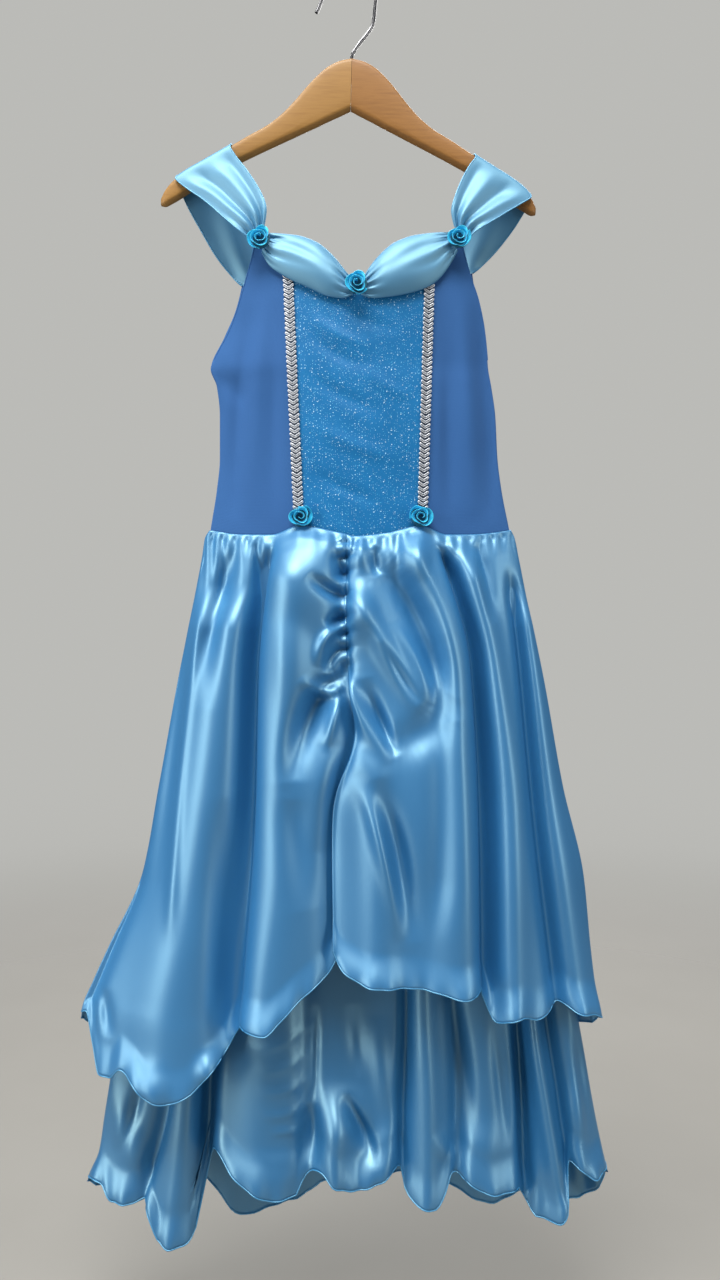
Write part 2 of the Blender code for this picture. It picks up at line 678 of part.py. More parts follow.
def strap(side, u, v):
    """u runs across from the armhole edge to the neck edge, v from the rosette over the hanger."""
    front = STRAP_LEFT_FRONT if side < 0 else STRAP_RIGHT_FRONT
    back = STRAP_LEFT_BACK if side < 0 else STRAP_RIGHT_BACK
    outer, inner = STRAP_TOP_LEFT if side < 0 else STRAP_TOP_RIGHT
    stations, xs, ys, drops = [], [], [], []

    def station(x, y, drop):
        stations.append(float(len(stations)))
        xs.append(x)
        ys.append(y)
        drops.append(drop)

    for row in front:
        station(row.outer_x + (row.inner_x - row.outer_x) * u, row.out + 0 * u,
                row.outer_drop + (row.inner_drop - row.outer_drop) * u)
    top_x = outer + (inner - outer) * u
    radius = HANGER_THICK / 2 + STRAP_CLEAR
    for angle in np.linspace(-80, 80, STRAP_ARC):
        turn = radians(angle)
        station(top_x, radius * sin(turn) + 0 * u, arm_top(top_x) + radius * (1 - cos(turn)) - STRAP_CLEAR)
    for row in back[:-1]:
        station(row.outer_x + (row.inner_x - row.outer_x) * u, row.out + 0 * u,
                row.outer_drop + (row.inner_drop - row.outer_drop) * u)
    end_x = back[-1].outer_x + (back[-1].inner_x - back[-1].outer_x) * u
    edge = level(BACK_NECKLINE, end_x)
    station(end_x, back_depth(end_x, edge), edge - 2 * SEAM_GAP)
    at = v * (len(stations) - 1)
    i = np.clip(at.astype(int), 0, len(stations) - 2)
    t = at - i
    columns = np.arange(len(u))

    def blend(values):
        grid = np.array(values)
        before, after = grid[np.maximum(i - 1, 0), columns], grid[np.minimum(i + 2, len(grid) - 1), columns]
        here, there = grid[i, columns], grid[i + 1, columns]
        start, end = (there - before) / 2, (after - here) / 2
        return (
            (2 * t**3 - 3 * t**2 + 1) * here
            + (t**3 - 2 * t**2 + t) * start
            + (3 * t**2 - 2 * t**3) * there
            + (t**3 - t**2) * end
        )

    x, y, drop = blend(xs), blend(ys), blend(drops)
    in_front = np.clip(1 - at / (len(front) + 0.5), 0, 1)
    y -= 1.6 * np.cos(2 * pi * 2.5 * u) * in_front * rise(in_front * 2)
    return x, y, -drop


def knots(bands):
    """The bands' grid points; a later band leaves out what an earlier one covers."""
    found = []
    for n, band in enumerate(bands):
        for u in np.linspace(band.u0, band.u1, band.columns + 1):
            for v in np.linspace(band.v0, band.v1, band.rows + 1):
                covered = any(
                    other.u0 - 1e-6 <= u <= other.u1 + 1e-6 and other.v0 - 1e-6 <= v <= other.v1 + 1e-6
                    for other in bands[:n]
                )
                if not covered:
                    found.append((float(u), float(v)))
    return found


def material(name, colour, roughness, metallic=0.0):
    made = bpy.data.materials.new(name)
    made.use_nodes = True
    shader = made.node_tree.nodes["Principled BSDF"]
    shader.inputs["Base Color"].default_value = (*colour, 1)
    shader.inputs["Roughness"].default_value = roughness
    shader.inputs["Metallic"].default_value = metallic
    return made


def link(name, mesh, finish, collection):
    piece = bpy.data.objects.new(name, mesh)
    mesh.materials.append(finish)
    collection.objects.link(piece)
    return piece


def cloth(name, surface, bands, finish, collection, flip=False, thick=CLOTH):
    """A cloth panel: surface(u, v) sampled at the bands' knots, and given its wall by Solidify."""
    at = knots(bands)
    flat = delaunay_2d_cdt([tuple(p) for p in at], [], [], 0, 1e-7)
    u, v = np.array([tuple(p) for p in flat[0]]).T
    points = np.column_stack([np.broadcast_to(axis, u.shape) for axis in surface(u, v)]) * MM
    faces = [tuple(face[::-1]) if flip else tuple(face) for face in flat[2]]
    mesh = bpy.data.meshes.new(name)
    mesh.from_pydata(points.tolist(), [], faces)
    mesh.shade_smooth()
    piece = link(name, mesh, finish, collection)
    wall = piece.modifiers.new("Cloth wall", "SOLIDIFY")
    wall.thickness = thick * MM
    wall.offset = 0
    wall.use_even_offset = True
    wall.use_quality_normals = True
    return piece


def make_overskirt(satin, dress):
    left = [
        Band(0.06, 1, 0, 0.1, 42, 3),
        Band(0, 0.06, 0, 0.1, 1, 3),
        Band(0.84, 1, 0.1, 0.31, 4, 22),
        Band(0, 1, 0.1, 1, 24, 12),
    ]
    cloth("overskirt_front_left", lambda u, v: overskirt_front(-1, u, v), left, satin, dress, True)
    right = [
        Band(0, 0.94, 0, 0.1, 42, 3),
        Band(0.94, 1, 0, 0.1, 1, 3),
        Band(0, 0.16, 0.1, 0.31, 4, 22),
        Band(0.16, 0.62, 0.1, 0.4, 14, 10),
        Band(0, 1, 0.1, 1, 24, 12),
    ]
    cloth("overskirt_front_right", lambda u, v: overskirt_front(1, u, v), right, satin, dress, True)
    back = [Band(0.03, 0.97, 0, 0.1, 48, 2), Band(0, 1, 0, 0.1, 1, 2), Band(0, 1, 0.1, 1, 32, 7)]
    cloth("overskirt_back", overskirt_back, back, satin, dress)


def make_underskirt(satin, dress):
    front = [Band(0, 1, 0.6, 1, 60, 6), Band(0, 1, 0, 0.08, 18, 3), Band(0, 1, 0.08, 0.6, 18, 4)]
    cloth("underskirt_front", underskirt_front, front, satin, dress, True)
    back = [Band(0, 1, 0.6, 1, 32, 4), Band(0, 1, 0, 0.08, 16, 3), Band(0, 1, 0.08, 0.6, 16, 3)]
    cloth("underskirt_back", underskirt_back, back, satin, dress)


def make_bodice(knit, glitter, dress):
    side = [Band(0, 1, 0, 1, 7, 16)]
    cloth("bodice_front_left", lambda u, v: bodice_side(-1, u, v), side, knit, dress)
    cloth("bodice_front_right", lambda u, v: bodice_side(1, u, v), side, knit, dress, True)
    cloth("bodice_front_centre", bodice_centre, [Band(0, 1, 0, 1, 10, 8)], glitter, dress)
    cloth("bodice_back", bodice_back, [Band(0, 1, 0, 1, 12, 11)], knit, dress, True)


def make_trims(satin, silver, dress):
    for side, name in ((-1, "left"), (1, "right")):
        run = [Band(0, 1, 0, 1, 2, 14)]
        cloth(f"braid_{name}", lambda u, v: braid(side, u, v), run, silver, dress, thick=BRAID_THICK)
        across = [Band(0, 1, 0, 1, 12, 10)]
        cloth(f"swag_{name}", lambda u, v: swag(side, u, v), across, satin, dress, side < 0)
        over = [Band(0, 1, 0, 1, 7, 20)]
        cloth(f"strap_{name}", lambda u, v: strap(side, u, v), over, satin, dress, side > 0)


def make_rosette(name, x, drop, depth, ribbon, dress):
    """A wound ribbon rose: a domed disc whose face rises and falls along a spiral."""
    rings, sectors, turns = 6, 15, 2.0
    made = bmesh.new()
    centre = made.verts.new((0, 0, ROSETTE_HEIGHT * 0.8))
    face_rows = []
    for ring in range(1, rings + 1):
        share = ring / rings
        row = []
        for sector in range(sectors):
            angle = 2 * pi * sector / sectors
            wave = cos(2 * pi * (turns * share - sector / sectors))
            height = ROSETTE_HEIGHT * (1 - 0.55 * share**3) * (0.82 + 0.18 * wave)
            reach = ROSETTE_RADIUS * share * (1 + 0.06 * share * cos(5 * angle))
            row.append(made.verts.new((reach * cos(angle), reach * sin(angle), height)))
        face_rows.append(row)
    base = [made.verts.new((v.co.x * 0.86, v.co.y * 0.86, 0)) for v in face_rows[-1]]
    face_rows.append(base)
    for k in range(sectors):
        after = (k + 1) % sectors
        made.faces.new((centre, face_rows[0][k], face_rows[0][after]))
        for lower, upper in zip(face_rows, face_rows[1:]):
            made.faces.new((lower[k], upper[k], upper[after], lower[after]))
    made.faces.new(base[::-1])
    for vert in made.verts:
        vert.co *= MM
    mesh = bpy.data.meshes.new(name)
    made.to_mesh(mesh)
    made.free()
    mesh.shade_smooth()
    rosette = link(name, mesh, ribbon, dress)
    rosette.location = (x * MM, -depth * MM, -drop * MM)
    rosette.rotation_euler = (pi / 2, 0, 0)
    return rosette


def make_rosettes(ribbon, dress):
    """Three hold the neck swags and two sit at the braids' lower ends, just clear of the cloth."""
    for name, x, drop, clear in (
        ("rosette_neck_left", -87.5, 274, 11.2),
        ("rosette_neck_centre", 5, 320, 9.2),
        ("rosette_neck_right", 101.5, 273, 11.4),
        ("rosette_waist_left", -48.5, 538, 3.6),
        ("rosette_waist_right", 66, 538, 3.6),
    ):
        depth = float(bodice_depth(np.array([float(x)]), np.array([float(drop)]), "front")[0]) + clear
        make_rosette(name, x, drop, depth, ribbon, dress)


def arm_outline(row):
    """A vertical section of the arm with rounded corners, as (y, drop) pairs."""
    half_y, half_z = row.thick / 2, (row.bottom - row.top) / 2
    corner = min(ARM_CORNER, half_y - 0.4, half_z - 0.4)
    points = []
    for quarter, (side_y, side_z) in enumerate(((1, 1), (-1, 1), (-1, -1), (1, -1))):
        for step in range(ARM_CORNER_STEPS + 1):
            turn = pi / 2 * (quarter + step / ARM_CORNER_STEPS)
            y = side_y * (half_y - corner) + corner * cos(turn)
            z = side_z * (half_z - corner) + corner * sin(turn)
            points.append((y, row.top + half_z + z))
    return points


def make_arm(side, wood, dress):
    made = bmesh.new()
    rows = []
    for row in ARM:
        out = max(row.out, SEAM_GAP / 2)
        ring = [made.verts.new((side * out, y, -drop)) for y, drop in arm_outline(row)]
        rows.append(ring)
    for inner, outer in zip(rows, rows[1:]):
        for k in range(len(inner)):
            after = (k + 1) % len(inner)
            made.faces.new((inner[k], inner[after], outer[after], outer[k]))
    made.faces.new(rows[0])
    made.faces.new(rows[-1])
    bmesh.ops.recalc_face_normals(made, faces=made.faces)
    pivot = Matrix.Translation((0, 0, -ARM[0].top))
    tilt = pivot @ Matrix.Rotation(HANGER_TILT, 4, "Y") @ pivot.inverted()
    bmesh.ops.transform(made, matrix=Matrix.Scale(MM, 4) @ tilt, verts=made.verts)
    name = f"hanger_arm_{'left' if side < 0 else 'right'}"
    mesh = bpy.data.meshes.new(name)
    made.to_mesh(mesh)
    made.free()
    mesh.shade_smooth()
    mesh.set_sharp_from_angle(angle=radians(50))
    return link(name, mesh, wood, dress)


def bore_shaft_hole(arms, cutters):
    """The hook's shaft stands in a hole on the mitre, a little wider than its wire."""
    bpy.ops.mesh.primitive_cylinder_add(
        vertices=16, radius=(WIRE_RADIUS + SEAM_GAP) * MM, depth=2 * SHAFT_DEPTH * MM,
        location=(0, 0, -ARM[0].top * MM))
    cutter = bpy.context.object
    cutter.name = "shaft_hole_cutter"
    for collection in list(cutter.users_collection):
        collection.objects.unlink(cutter)
    cutters.objects.link(cutter)
    cutter.hide_render = True
    cutter.display_type = "WIRE"
    for arm in arms:
        hole = arm.modifiers.new("Shaft hole", "BOOLEAN")
        hole.operation = "DIFFERENCE"
        hole.solver = "EXACT"
        hole.object = cutter


def hook_path():
    """The wire's centre line: the shaft, its bend, the round hook and its turned-out tip."""
    centre = np.array([HOOK_CENTRE_X, -(HOOK_RADIUS - WIRE_RADIUS)])
    foot = -ARM[0].top - SHAFT_DEPTH + 1
    shaft = [(0, foot), (0, -ARM[0].top + 2), (3, -82), (8.5, -74), (15, -66), (20.5, -56)]
    turn = [
        (centre[0] + HOOK_RADIUS * cos(radians(a)), centre[1] + HOOK_RADIUS * sin(radians(a)))
        for a in range(-20, 191, 15)
    ]
    return shaft + turn + [(-31, -38), (-34.5, -46)]


def make_hook(steel, dress):
    curve = bpy.data.curves.new("hanger_hook", "CURVE")
    curve.dimensions = "3D"
    curve.bevel_depth = WIRE_RADIUS * MM
    curve.bevel_resolution = 2
    curve.use_fill_caps = True
    points = hook_path()
    spline = curve.splines.new("POLY")
    spline.points.add(len(points) - 1)
    for point, (x, z) in zip(spline.points, points):
        point.co = (x * MM, 0, z * MM, 1)
    curve.materials.append(steel)
    hook = bpy.data.objects.new("hanger_hook", curve)
    dress.objects.link(hook)
    return hook


def main():
    clear_scene()
    dress = bpy.data.collections.new("princess_dress")
    cutters = bpy.data.collections.new("cutters")
    for collection in (dress, cutters):
        bpy.context.scene.collection.children.link(collection)
    satin = material("satin", (0.16, 0.47, 0.76), 0.32)
    knit = material("knit", (0.1, 0.24, 0.62), 0.8)
    glitter = material("glitter", (0.03, 0.24, 0.53), 0.5)
    silver = material("silver_braid", (0.68, 0.67, 0.68), 0.4, 0.7)
    ribbon = material("ribbon", (0.0, 0.33, 0.42), 0.45)
    woods = (material("wood_left", (0.62, 0.38, 0.16), 0.4), material("wood_right", (0.6, 0.33, 0.14), 0.4))
    steel = material("hook_chrome", (0.72, 0.72, 0.74), 0.22, 1.0)
    make_bodice(knit, glitter, dress)
    make_overskirt(satin, dress)
    make_underskirt(satin, dress)
    make_trims(satin, silver, dress)
    make_rosettes(ribbon, dress)
    arms = [make_arm(side, wood, dress) for side, wood in zip((-1, 1), woods)]
    bore_shaft_hole(arms, cutters)
    make_hook(steel, dress)


main()
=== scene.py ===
# %% [markdown]
# # A princess costume dress on its hanger
#
# The dress hangs flat on a child's wooden hanger. Its bodice is a blue knit with a glitter panel
# between two silver braids, its skirt is two layers of glossy satin, and satin ribbon roses hold
# the neck swags and the wide straps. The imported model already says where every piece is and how
# thick it is. This lesson dresses that model: each panel gets a thin smooth shell on the form of
# its solid, with finer folds and creases, and every material is made from nodes.

# %% Open the frame
from collections import namedtuple
from math import cos, pi, radians, sin

import bpy
import numpy as np
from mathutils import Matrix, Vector


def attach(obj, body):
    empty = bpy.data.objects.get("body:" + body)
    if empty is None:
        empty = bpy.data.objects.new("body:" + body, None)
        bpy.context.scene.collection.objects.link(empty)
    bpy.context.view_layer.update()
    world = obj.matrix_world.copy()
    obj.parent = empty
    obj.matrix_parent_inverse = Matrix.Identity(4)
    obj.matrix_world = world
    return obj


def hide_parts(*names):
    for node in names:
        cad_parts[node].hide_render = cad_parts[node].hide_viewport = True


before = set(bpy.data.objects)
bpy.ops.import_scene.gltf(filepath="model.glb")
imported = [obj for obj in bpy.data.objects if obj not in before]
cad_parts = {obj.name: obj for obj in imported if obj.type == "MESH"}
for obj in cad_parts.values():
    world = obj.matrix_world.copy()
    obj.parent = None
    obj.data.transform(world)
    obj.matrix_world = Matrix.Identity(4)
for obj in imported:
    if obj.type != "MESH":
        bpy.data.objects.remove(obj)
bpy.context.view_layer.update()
MM = 0.001
print("The frame has", len(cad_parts), "nodes")

# %% [markdown]
# ## The camera
#
# The photograph looks straight at the dress from about a metre away with a phone's wide lens, and
# its middle is at the height of the skirt's hips. Blender measures the lens against the longer
# side of the picture, so one focal length settles how much of the dress is seen.

# %% Camera
CAMERA_AWAY = 1.0
CAMERA_PLACE = (0.0078, -CAMERA_AWAY, -0.6548)
camera = bpy.data.objects.new("camera", bpy.data.cameras.new("camera"))
camera.location = CAMERA_PLACE
camera.rotation_euler = (radians(90), 0, 0)
camera.data.lens = 28.97
camera.data.sensor_width = 36
camera.data.clip_start = 0.02
bpy.context.scene.collection.objects.link(camera)
bpy.context.scene.camera = camera
print("The lens is", camera.data.lens, "mm")

# %% [markdown]
# ## The stage and its light
#
# Satin shows its folds by what it mirrors. Where a fold faces the camera it mirrors the dim room
# and looks deep blue, and where it turns up or sideways it mirrors a lit ceiling panel and turns
# nearly white. So the light is a bright overhead panel, two tall side panels and a dim front, in
# front of a pale grey surround that stays the same from all sides. A floor lies below the hem, and
# fades into the surround with distance so that no edge of it shows.

# %% World
SURROUND = (0.497, 0.497, 0.476)
SURROUND_LOW = (0.25, 0.235, 0.21)
bpy.context.scene.view_settings.view_transform = "Standard"
world = bpy.data.worlds.new("surround")
bpy.context.scene.world = world
world.use_nodes = True
sky = world.node_tree
sky.nodes.clear()


def sky_node(kind, settings=None, inputs=None):
    made = sky.nodes.new(kind)
    for name, value in (settings or {}).items():
        setattr(made, name, value)
    for name, value in (inputs or {}).items():
        if isinstance(value, bpy.types.NodeSocket):
            sky.links.new(value, made.inputs[name])
        else:
            made.inputs[name].default_value = value
    return made


upward = sky_node("ShaderNodeSeparateXYZ", inputs={0: sky_node("ShaderNodeTexCoord").outputs["Generated"]})
height = sky_node("ShaderNodeMapRange", {"interpolation_type": "SMOOTHSTEP"},
                  {"Value": upward.outputs["Z"], "From Min": -0.5, "From Max": 0.9, "To Min": 0.04, "To Max": 0.3})
lit = sky_node("ShaderNodeBackground", inputs={"Color": (0.95, 0.98, 1.0, 1), "Strength": height.outputs[0]})
low = sky_node("ShaderNodeMapRange", {"interpolation_type": "SMOOTHSTEP"},
               {"Value": upward.outputs["Z"], "From Min": -0.62, "From Max": -0.12})
shade = sky_node("ShaderNodeMix", {"data_type": "RGBA"},
                 {0: low.outputs[0], 6: (*SURROUND_LOW, 1), 7: (*SURROUND, 1)})
seen = sky_node("ShaderNodeBackground", inputs={"Color": shade.outputs[2], "Strength": 1.0})
rays = sky_node("ShaderNodeLightPath")
both = sky_node("ShaderNodeMixShader", inputs={0: rays.outputs["Is Camera Ray"], 1: lit.outputs[0], 2: seen.outputs[0]})
sky_node("ShaderNodeOutputWorld", inputs={"Surface": both.outputs[0]})
print("The surround is", SURROUND)

# %% Lights
Panel = namedtuple("Panel", "name x y z width height power aim_z")
PANELS = (
    Panel("ceiling panel", -0.5, -1.5, 2.6, 2.6, 1.5, 215, -0.8),
    Panel("left panel", -1.6, -0.9, -0.4, 0.8, 1.7, 24, -0.8),
    Panel("right panel", 1.7, -0.9, -0.4, 0.5, 1.6, 12, -0.8),
    Panel("back panel", 0.4, 1.7, 0.9, 1.8, 1.4, 60, -0.8),
)
for panel in PANELS:
    light = bpy.data.lights.new(panel.name, "AREA")
    light.shape = "RECTANGLE"
    light.size, light.size_y = panel.width, panel.height
    light.energy = panel.power
    light.color = (1.0, 0.985, 0.96)
    lamp = bpy.data.objects.new(panel.name, light)
    lamp.location = (panel.x, panel.y, panel.z)
    aim = Vector((0, 0, panel.aim_z)) - lamp.location
    lamp.rotation_euler = aim.to_track_quat("-Z", "Y").to_euler()
    bpy.context.scene.collection.objects.link(lamp)
print(len(PANELS), "light panels")

# %% [markdown]
# ## Writing shaders as sums
#
# A material is a graph of nodes, and sums are hard to read as a graph. One small class holds a
# socket, and lets Python's own operators add the Math nodes. Every other node comes from one
# method that takes the node's type, its settings, and what goes into its sockets.

# %% Shader helper
class Value:
    """A socket in a finish, on which + - * / and ** add Math nodes."""

    def __init__(self, finish, socket):
        self.finish = finish
        self.socket = socket

    def math(self, operation, first, second):
        return self.finish.node("ShaderNodeMath", {"operation": operation}, {0: first, 1: second})

    def __add__(self, other):
        return self.math("ADD", self, other)

    def __radd__(self, other):
        return self.math("ADD", other, self)

    def __sub__(self, other):
        return self.math("SUBTRACT", self, other)

    def __rsub__(self, other):
        return self.math("SUBTRACT", other, self)

    def __mul__(self, other):
        return self.math("MULTIPLY", self, other)

    def __rmul__(self, other):
        return self.math("MULTIPLY", other, self)

    def __truediv__(self, other):
        return self.math("DIVIDE", self, other)

    def __pow__(self, other):
        return self.math("POWER", self, other)

    def above(self, other):
        return self.math("GREATER_THAN", self, other)

    def wave(self):
        return self.math("SINE", self, 0)


class Finish:
    """A material whose nodes are added by name."""

    def __init__(self, name):
        self.material = bpy.data.materials.new(name)
        self.material.use_nodes = True
        self.tree = self.material.node_tree
        self.shader = self.tree.nodes["Principled BSDF"]

    def put(self, node, name, value):
        if isinstance(value, Value):
            self.tree.links.new(value.socket, node.inputs[name])
        elif isinstance(value, tuple) and len(value) == 3 and len(node.inputs[name].default_value) == 4:
            node.inputs[name].default_value = (*value, 1)
        else:
            node.inputs[name].default_value = value

    def node(self, kind, settings=None, inputs=None, output=0):
        made = self.tree.nodes.new(kind)
        for name, value in (settings or {}).items():
            if name == "stops":
                ramp = made.color_ramp
                while len(ramp.elements) < len(value):
                    ramp.elements.new(1)
                for stop, (place, colour) in zip(ramp.elements, value):
                    stop.position, stop.color = place, (*colour, 1)
            else:
                setattr(made, name, value)
        for name, value in (inputs or {}).items():
            self.put(made, name, value)
        return Value(self, made.outputs[output])

    def set(self, **sockets):
        for name, value in sockets.items():
            self.put(self.shader, name.replace("_", " "), value)
        return self

    def place(self, kind="Object"):
        return self.node("ShaderNodeTexCoord", output=kind)

    def stretch(self, vector, scale, turn=0.0):
        return self.node("ShaderNodeMapping", None, {"Vector": vector, "Scale": scale, "Rotation": (0, turn, 0)})

    def noise(self, vector, scale, detail=2.0, rough=0.5):
        return self.node("ShaderNodeTexNoise", None,
                         {"Vector": vector, "Scale": scale, "Detail": detail, "Roughness": rough})

    def blend(self, share, first, second):
        return self.node("ShaderNodeMix", {"data_type": "RGBA"}, {0: share, 6: first, 7: second}, 2)

    def bump(self, height, distance, strength=1.0):
        return self.node("ShaderNodeBump", None, {"Height": height, "Distance": distance, "Strength": strength})


print("Finishes are written with", Value.__name__, "and", Finish.__name__)

# %% [markdown]
# ## Satin
#
# Satin is woven so that long threads float on its face. They mirror light along one direction and
# give the cloth its liquid gloss, while the threads that cross them give its depth of colour. A
# part metallic shader with a medium roughness does this. The
# threads themselves are far finer than a pixel here, so they are a very light bump, with slow
# changes of gloss and colour like those of real cloth that has been handled.

# %% Satin finish
def make_satin(name, deep, bright, gloss):
    satin = Finish(name)
    thread = satin.place("UV")
    slow = satin.noise(satin.stretch(thread, (9, 5, 9)), 1.0, 3, 0.55)
    warp = satin.noise(satin.stretch(thread, (1900, 45, 1)), 1.0, 1, 0.5)
    weft = satin.noise(satin.stretch(thread, (60, 1400, 1)), 1.0, 1, 0.5)
    shade = satin.blend(slow * 0.55 + warp * 0.3 + weft * 0.15, deep, bright)
    satin.set(
        Base_Color=shade,
        Metallic=0.15,
        Roughness=gloss + slow * 0.06 + warp * 0.05,
        IOR=2.6,
        Specular_Tint=(0.62, 0.95, 0.88),
        # The cloth glows faintly in its own colour: painted light that lifts its darkest folds a little.
        Emission_Color=shade,
        Emission_Strength=0.05,
        Normal=satin.bump(warp * 0.6 + weft * 0.4, 0.00006, 0.3),
    )
    return satin.material


satin = make_satin("sky satin", (0.012, 0.125, 0.335), (0.02, 0.17, 0.415), 0.4)
satin_inner = make_satin("sky satin underskirt", (0.006, 0.095, 0.26), (0.012, 0.13, 0.33), 0.37)
satin_pale = make_satin("sky satin trim", (0.035, 0.16, 0.34), (0.06, 0.225, 0.42), 0.52)
satin_edge = make_satin("rolled satin edge", (0.015, 0.16, 0.38), (0.035, 0.22, 0.45), 0.4)
print("Satin has", len(satin.node_tree.nodes), "nodes")

# %% [markdown]
# ## Knit
#
# The bodice's sides and back are a matt stretch knit. Its face is rows of tiny V stitches, which
# scatter light widely, so it has no highlights and looks a little paler at its edges. Two crossed
# waves make the stitches, and a soft noise keeps the blue from being flat.

# %% Knit finish
def make_knit(name, deep, bright):
    knit = Finish(name)
    at = knit.node("ShaderNodeSeparateXYZ", None, {0: knit.place("UV")})
    across = Value(knit, at.socket.node.outputs["X"])
    along = Value(knit, at.socket.node.outputs["Y"])
    rib = (across * (2 * pi / 0.0011)).wave()
    stitch = (along * (2 * pi / 0.0014) + rib * 1.3).wave()
    fuzz = knit.noise(knit.place(), 900, 3, 0.6)
    cloud = knit.noise(knit.place(), 11, 2, 0.5)
    shade = knit.blend(stitch * 0.12 + rib * 0.06 + cloud * 0.55 + fuzz * 0.25, deep, bright)
    knit.set(
        Base_Color=shade,
        Roughness=0.74 + fuzz * 0.12,
        Sheen_Weight=0.15,
        Sheen_Roughness=0.4,
        Normal=knit.bump(stitch * 0.4 + rib * 0.3 + fuzz * 0.7, 0.00012, 0.6),
    )
    knit.shader.inputs["Sheen Tint"].default_value = (0.6, 0.75, 1.0, 1)
    knit.shader.inputs["Specular IOR Level"].default_value = 0.3
    return knit.material


knit = make_knit("periwinkle knit", (0.018, 0.088, 0.265), (0.033, 0.13, 0.35))
print("Knit has", len(knit.node_tree.nodes), "nodes")

# %% [markdown]
# ## Glitter tulle
#
# The middle panel is blue satin under fine tulle, which carries glitter dots. The dots are cells of
# a Voronoi pattern: each cell has its own random colour value, which decides whether its dot is
# there and how bright it is. Two sizes of dot, fine and finer, look like the
# real sprinkle.

# %% Glitter finish
def make_glitter(name):
    tulle = Finish(name)
    flat = tulle.place("UV")

    def dots(pitch, size, share):
        cells = tulle.node("ShaderNodeTexVoronoi", {"voronoi_dimensions": "2D"},
                           {"Vector": flat, "Scale": 1 / pitch, "Randomness": 0.85})
        chance = tulle.node("ShaderNodeSeparateColor", None, {0: Value(tulle, cells.socket.node.outputs["Color"])})
        near = (size - cells) / (size * 0.5)
        near.socket.node.use_clamp = True
        bright = Value(tulle, chance.socket.node.outputs["Green"])
        return near * chance.above(1 - share) * (0.35 + bright * 0.65), bright

    large, tone = dots(0.0034, 0.155, 0.36)
    fine, _ = dots(0.0019, 0.2, 0.4)
    net = tulle.node("ShaderNodeSeparateXYZ", None, {0: tulle.stretch(flat, (1, 1, 1))})
    mesh_lines = (Value(tulle, net.socket.node.outputs["X"]) * 5200).wave() * (
        Value(tulle, net.socket.node.outputs["Y"]) * 5200).wave()
    cloud = tulle.noise(flat, 26, 3, 0.55)
    ground = tulle.blend(cloud * 0.8 + mesh_lines * 0.12, (0.003, 0.11, 0.3), (0.014, 0.2, 0.47))
    sparkle = large + fine * 0.55
    sparkle.socket.node.use_clamp = True
    spark_colour = tulle.blend(tone, (0.15, 0.7, 0.95), (0.75, 0.96, 1.0))
    tulle.set(
        Base_Color=tulle.blend(sparkle, ground, spark_colour),
        Metallic=sparkle * 0.5,
        Roughness=0.46 - sparkle * 0.2,
        Normal=tulle.bump(mesh_lines * 0.3 + sparkle * 2.0 + cloud, 0.00018, 0.55),
        # The dots also glow a little in their own colour: painted glints.
        Emission_Color=tulle.blend(sparkle, (0.0, 0.0, 0.0), spark_colour),
        Emission_Strength=0.2,
    )
    tulle.shader.inputs["Specular IOR Level"].default_value = 0.25
    return tulle.material


glitter = make_glitter("glitter tulle")
print("Glitter has", len(glitter.node_tree.nodes), "nodes")

# %% [markdown]
# ## Braid, ribbon, wood and wire
#
# The gimp braid is silver thread wound on cotton, so it is part metal and part white. The ribbon of
# the roses is a teal satin. The hanger is varnished light wood with fine grain along each arm, one
# arm more orange than the other, as two pieces of wood are. The hook is bright plated wire.

# %% Braid and ribbon finishes
def make_silver(name, dark, pale):
    silver = Finish(name)
    twist = silver.noise(silver.place(), 2400, 2, 0.6)
    patch = silver.noise(silver.place(), 260, 2, 0.5)
    silver.set(
        Base_Color=silver.blend(twist * 0.6 + patch * 0.4, dark, pale),
        Metallic=0.45,
        Roughness=0.3 + patch * 0.2,
        Normal=silver.bump(twist, 0.0002, 0.6),
    )
    return silver.material


def make_ribbon(name, dark, pale):
    ribbon = Finish(name)
    weave = ribbon.noise(ribbon.stretch(ribbon.place("UV"), (400, 3000, 1)), 1.0, 1, 0.5)
    tone = ribbon.noise(ribbon.place(), 240, 2, 0.5)
    ribbon.set(
        Base_Color=ribbon.blend(tone, dark, pale),
        Metallic=0.3,
        Roughness=0.28 + weave * 0.1,
        Sheen_Weight=0.2,
        Normal=ribbon.bump(weave, 0.00005, 0.4),
    )
    return ribbon.material


silver = make_silver("silver gimp", (0.45, 0.48, 0.53), (0.92, 0.95, 1.0))
# The tape under the braid's loops is near black: painted shade for the gaps between them.
gap_shade_tape = make_silver("gimp tape", (0.02, 0.03, 0.05), (0.05, 0.07, 0.11))
ribbon = make_ribbon("teal ribbon", (0.0, 0.42, 0.72), (0.06, 0.66, 0.95))
# The dark teal of the roses' feet is painted shade, seen in the gaps between the strip's turns.
ribbon_foot_shade = make_ribbon("teal ribbon foot", (0.0, 0.07, 0.13), (0.0, 0.13, 0.2))
print("Braid and ribbon are ready")

# %% Wood and wire finishes
def make_wood(name, pale, deep, lean):
    wood = Finish(name)
    along = wood.stretch(wood.place(), (14, 70, 150), lean)
    rings = wood.noise(along, 1.6, 4, 0.6)
    fibre = wood.noise(wood.stretch(wood.place(), (60, 900, 1500), lean), 1.0, 2, 0.6)
    figure = wood.node("ShaderNodeValToRGB", {"stops": ((0.3, deep), (0.52, pale), (0.72, deep))}, {0: rings})
    pores = wood.blend(fibre * 0.35, figure, tuple(channel * 0.6 for channel in deep))
    wood.set(
        Base_Color=pores,
        Roughness=0.44 + fibre * 0.12,
        Specular_IOR_Level=0.3,
        Coat_Weight=0.12,
        Coat_Roughness=0.3,
        Normal=wood.bump(fibre * 0.5 + rings * 0.5, 0.00006, 0.5),
    )
    return wood.material


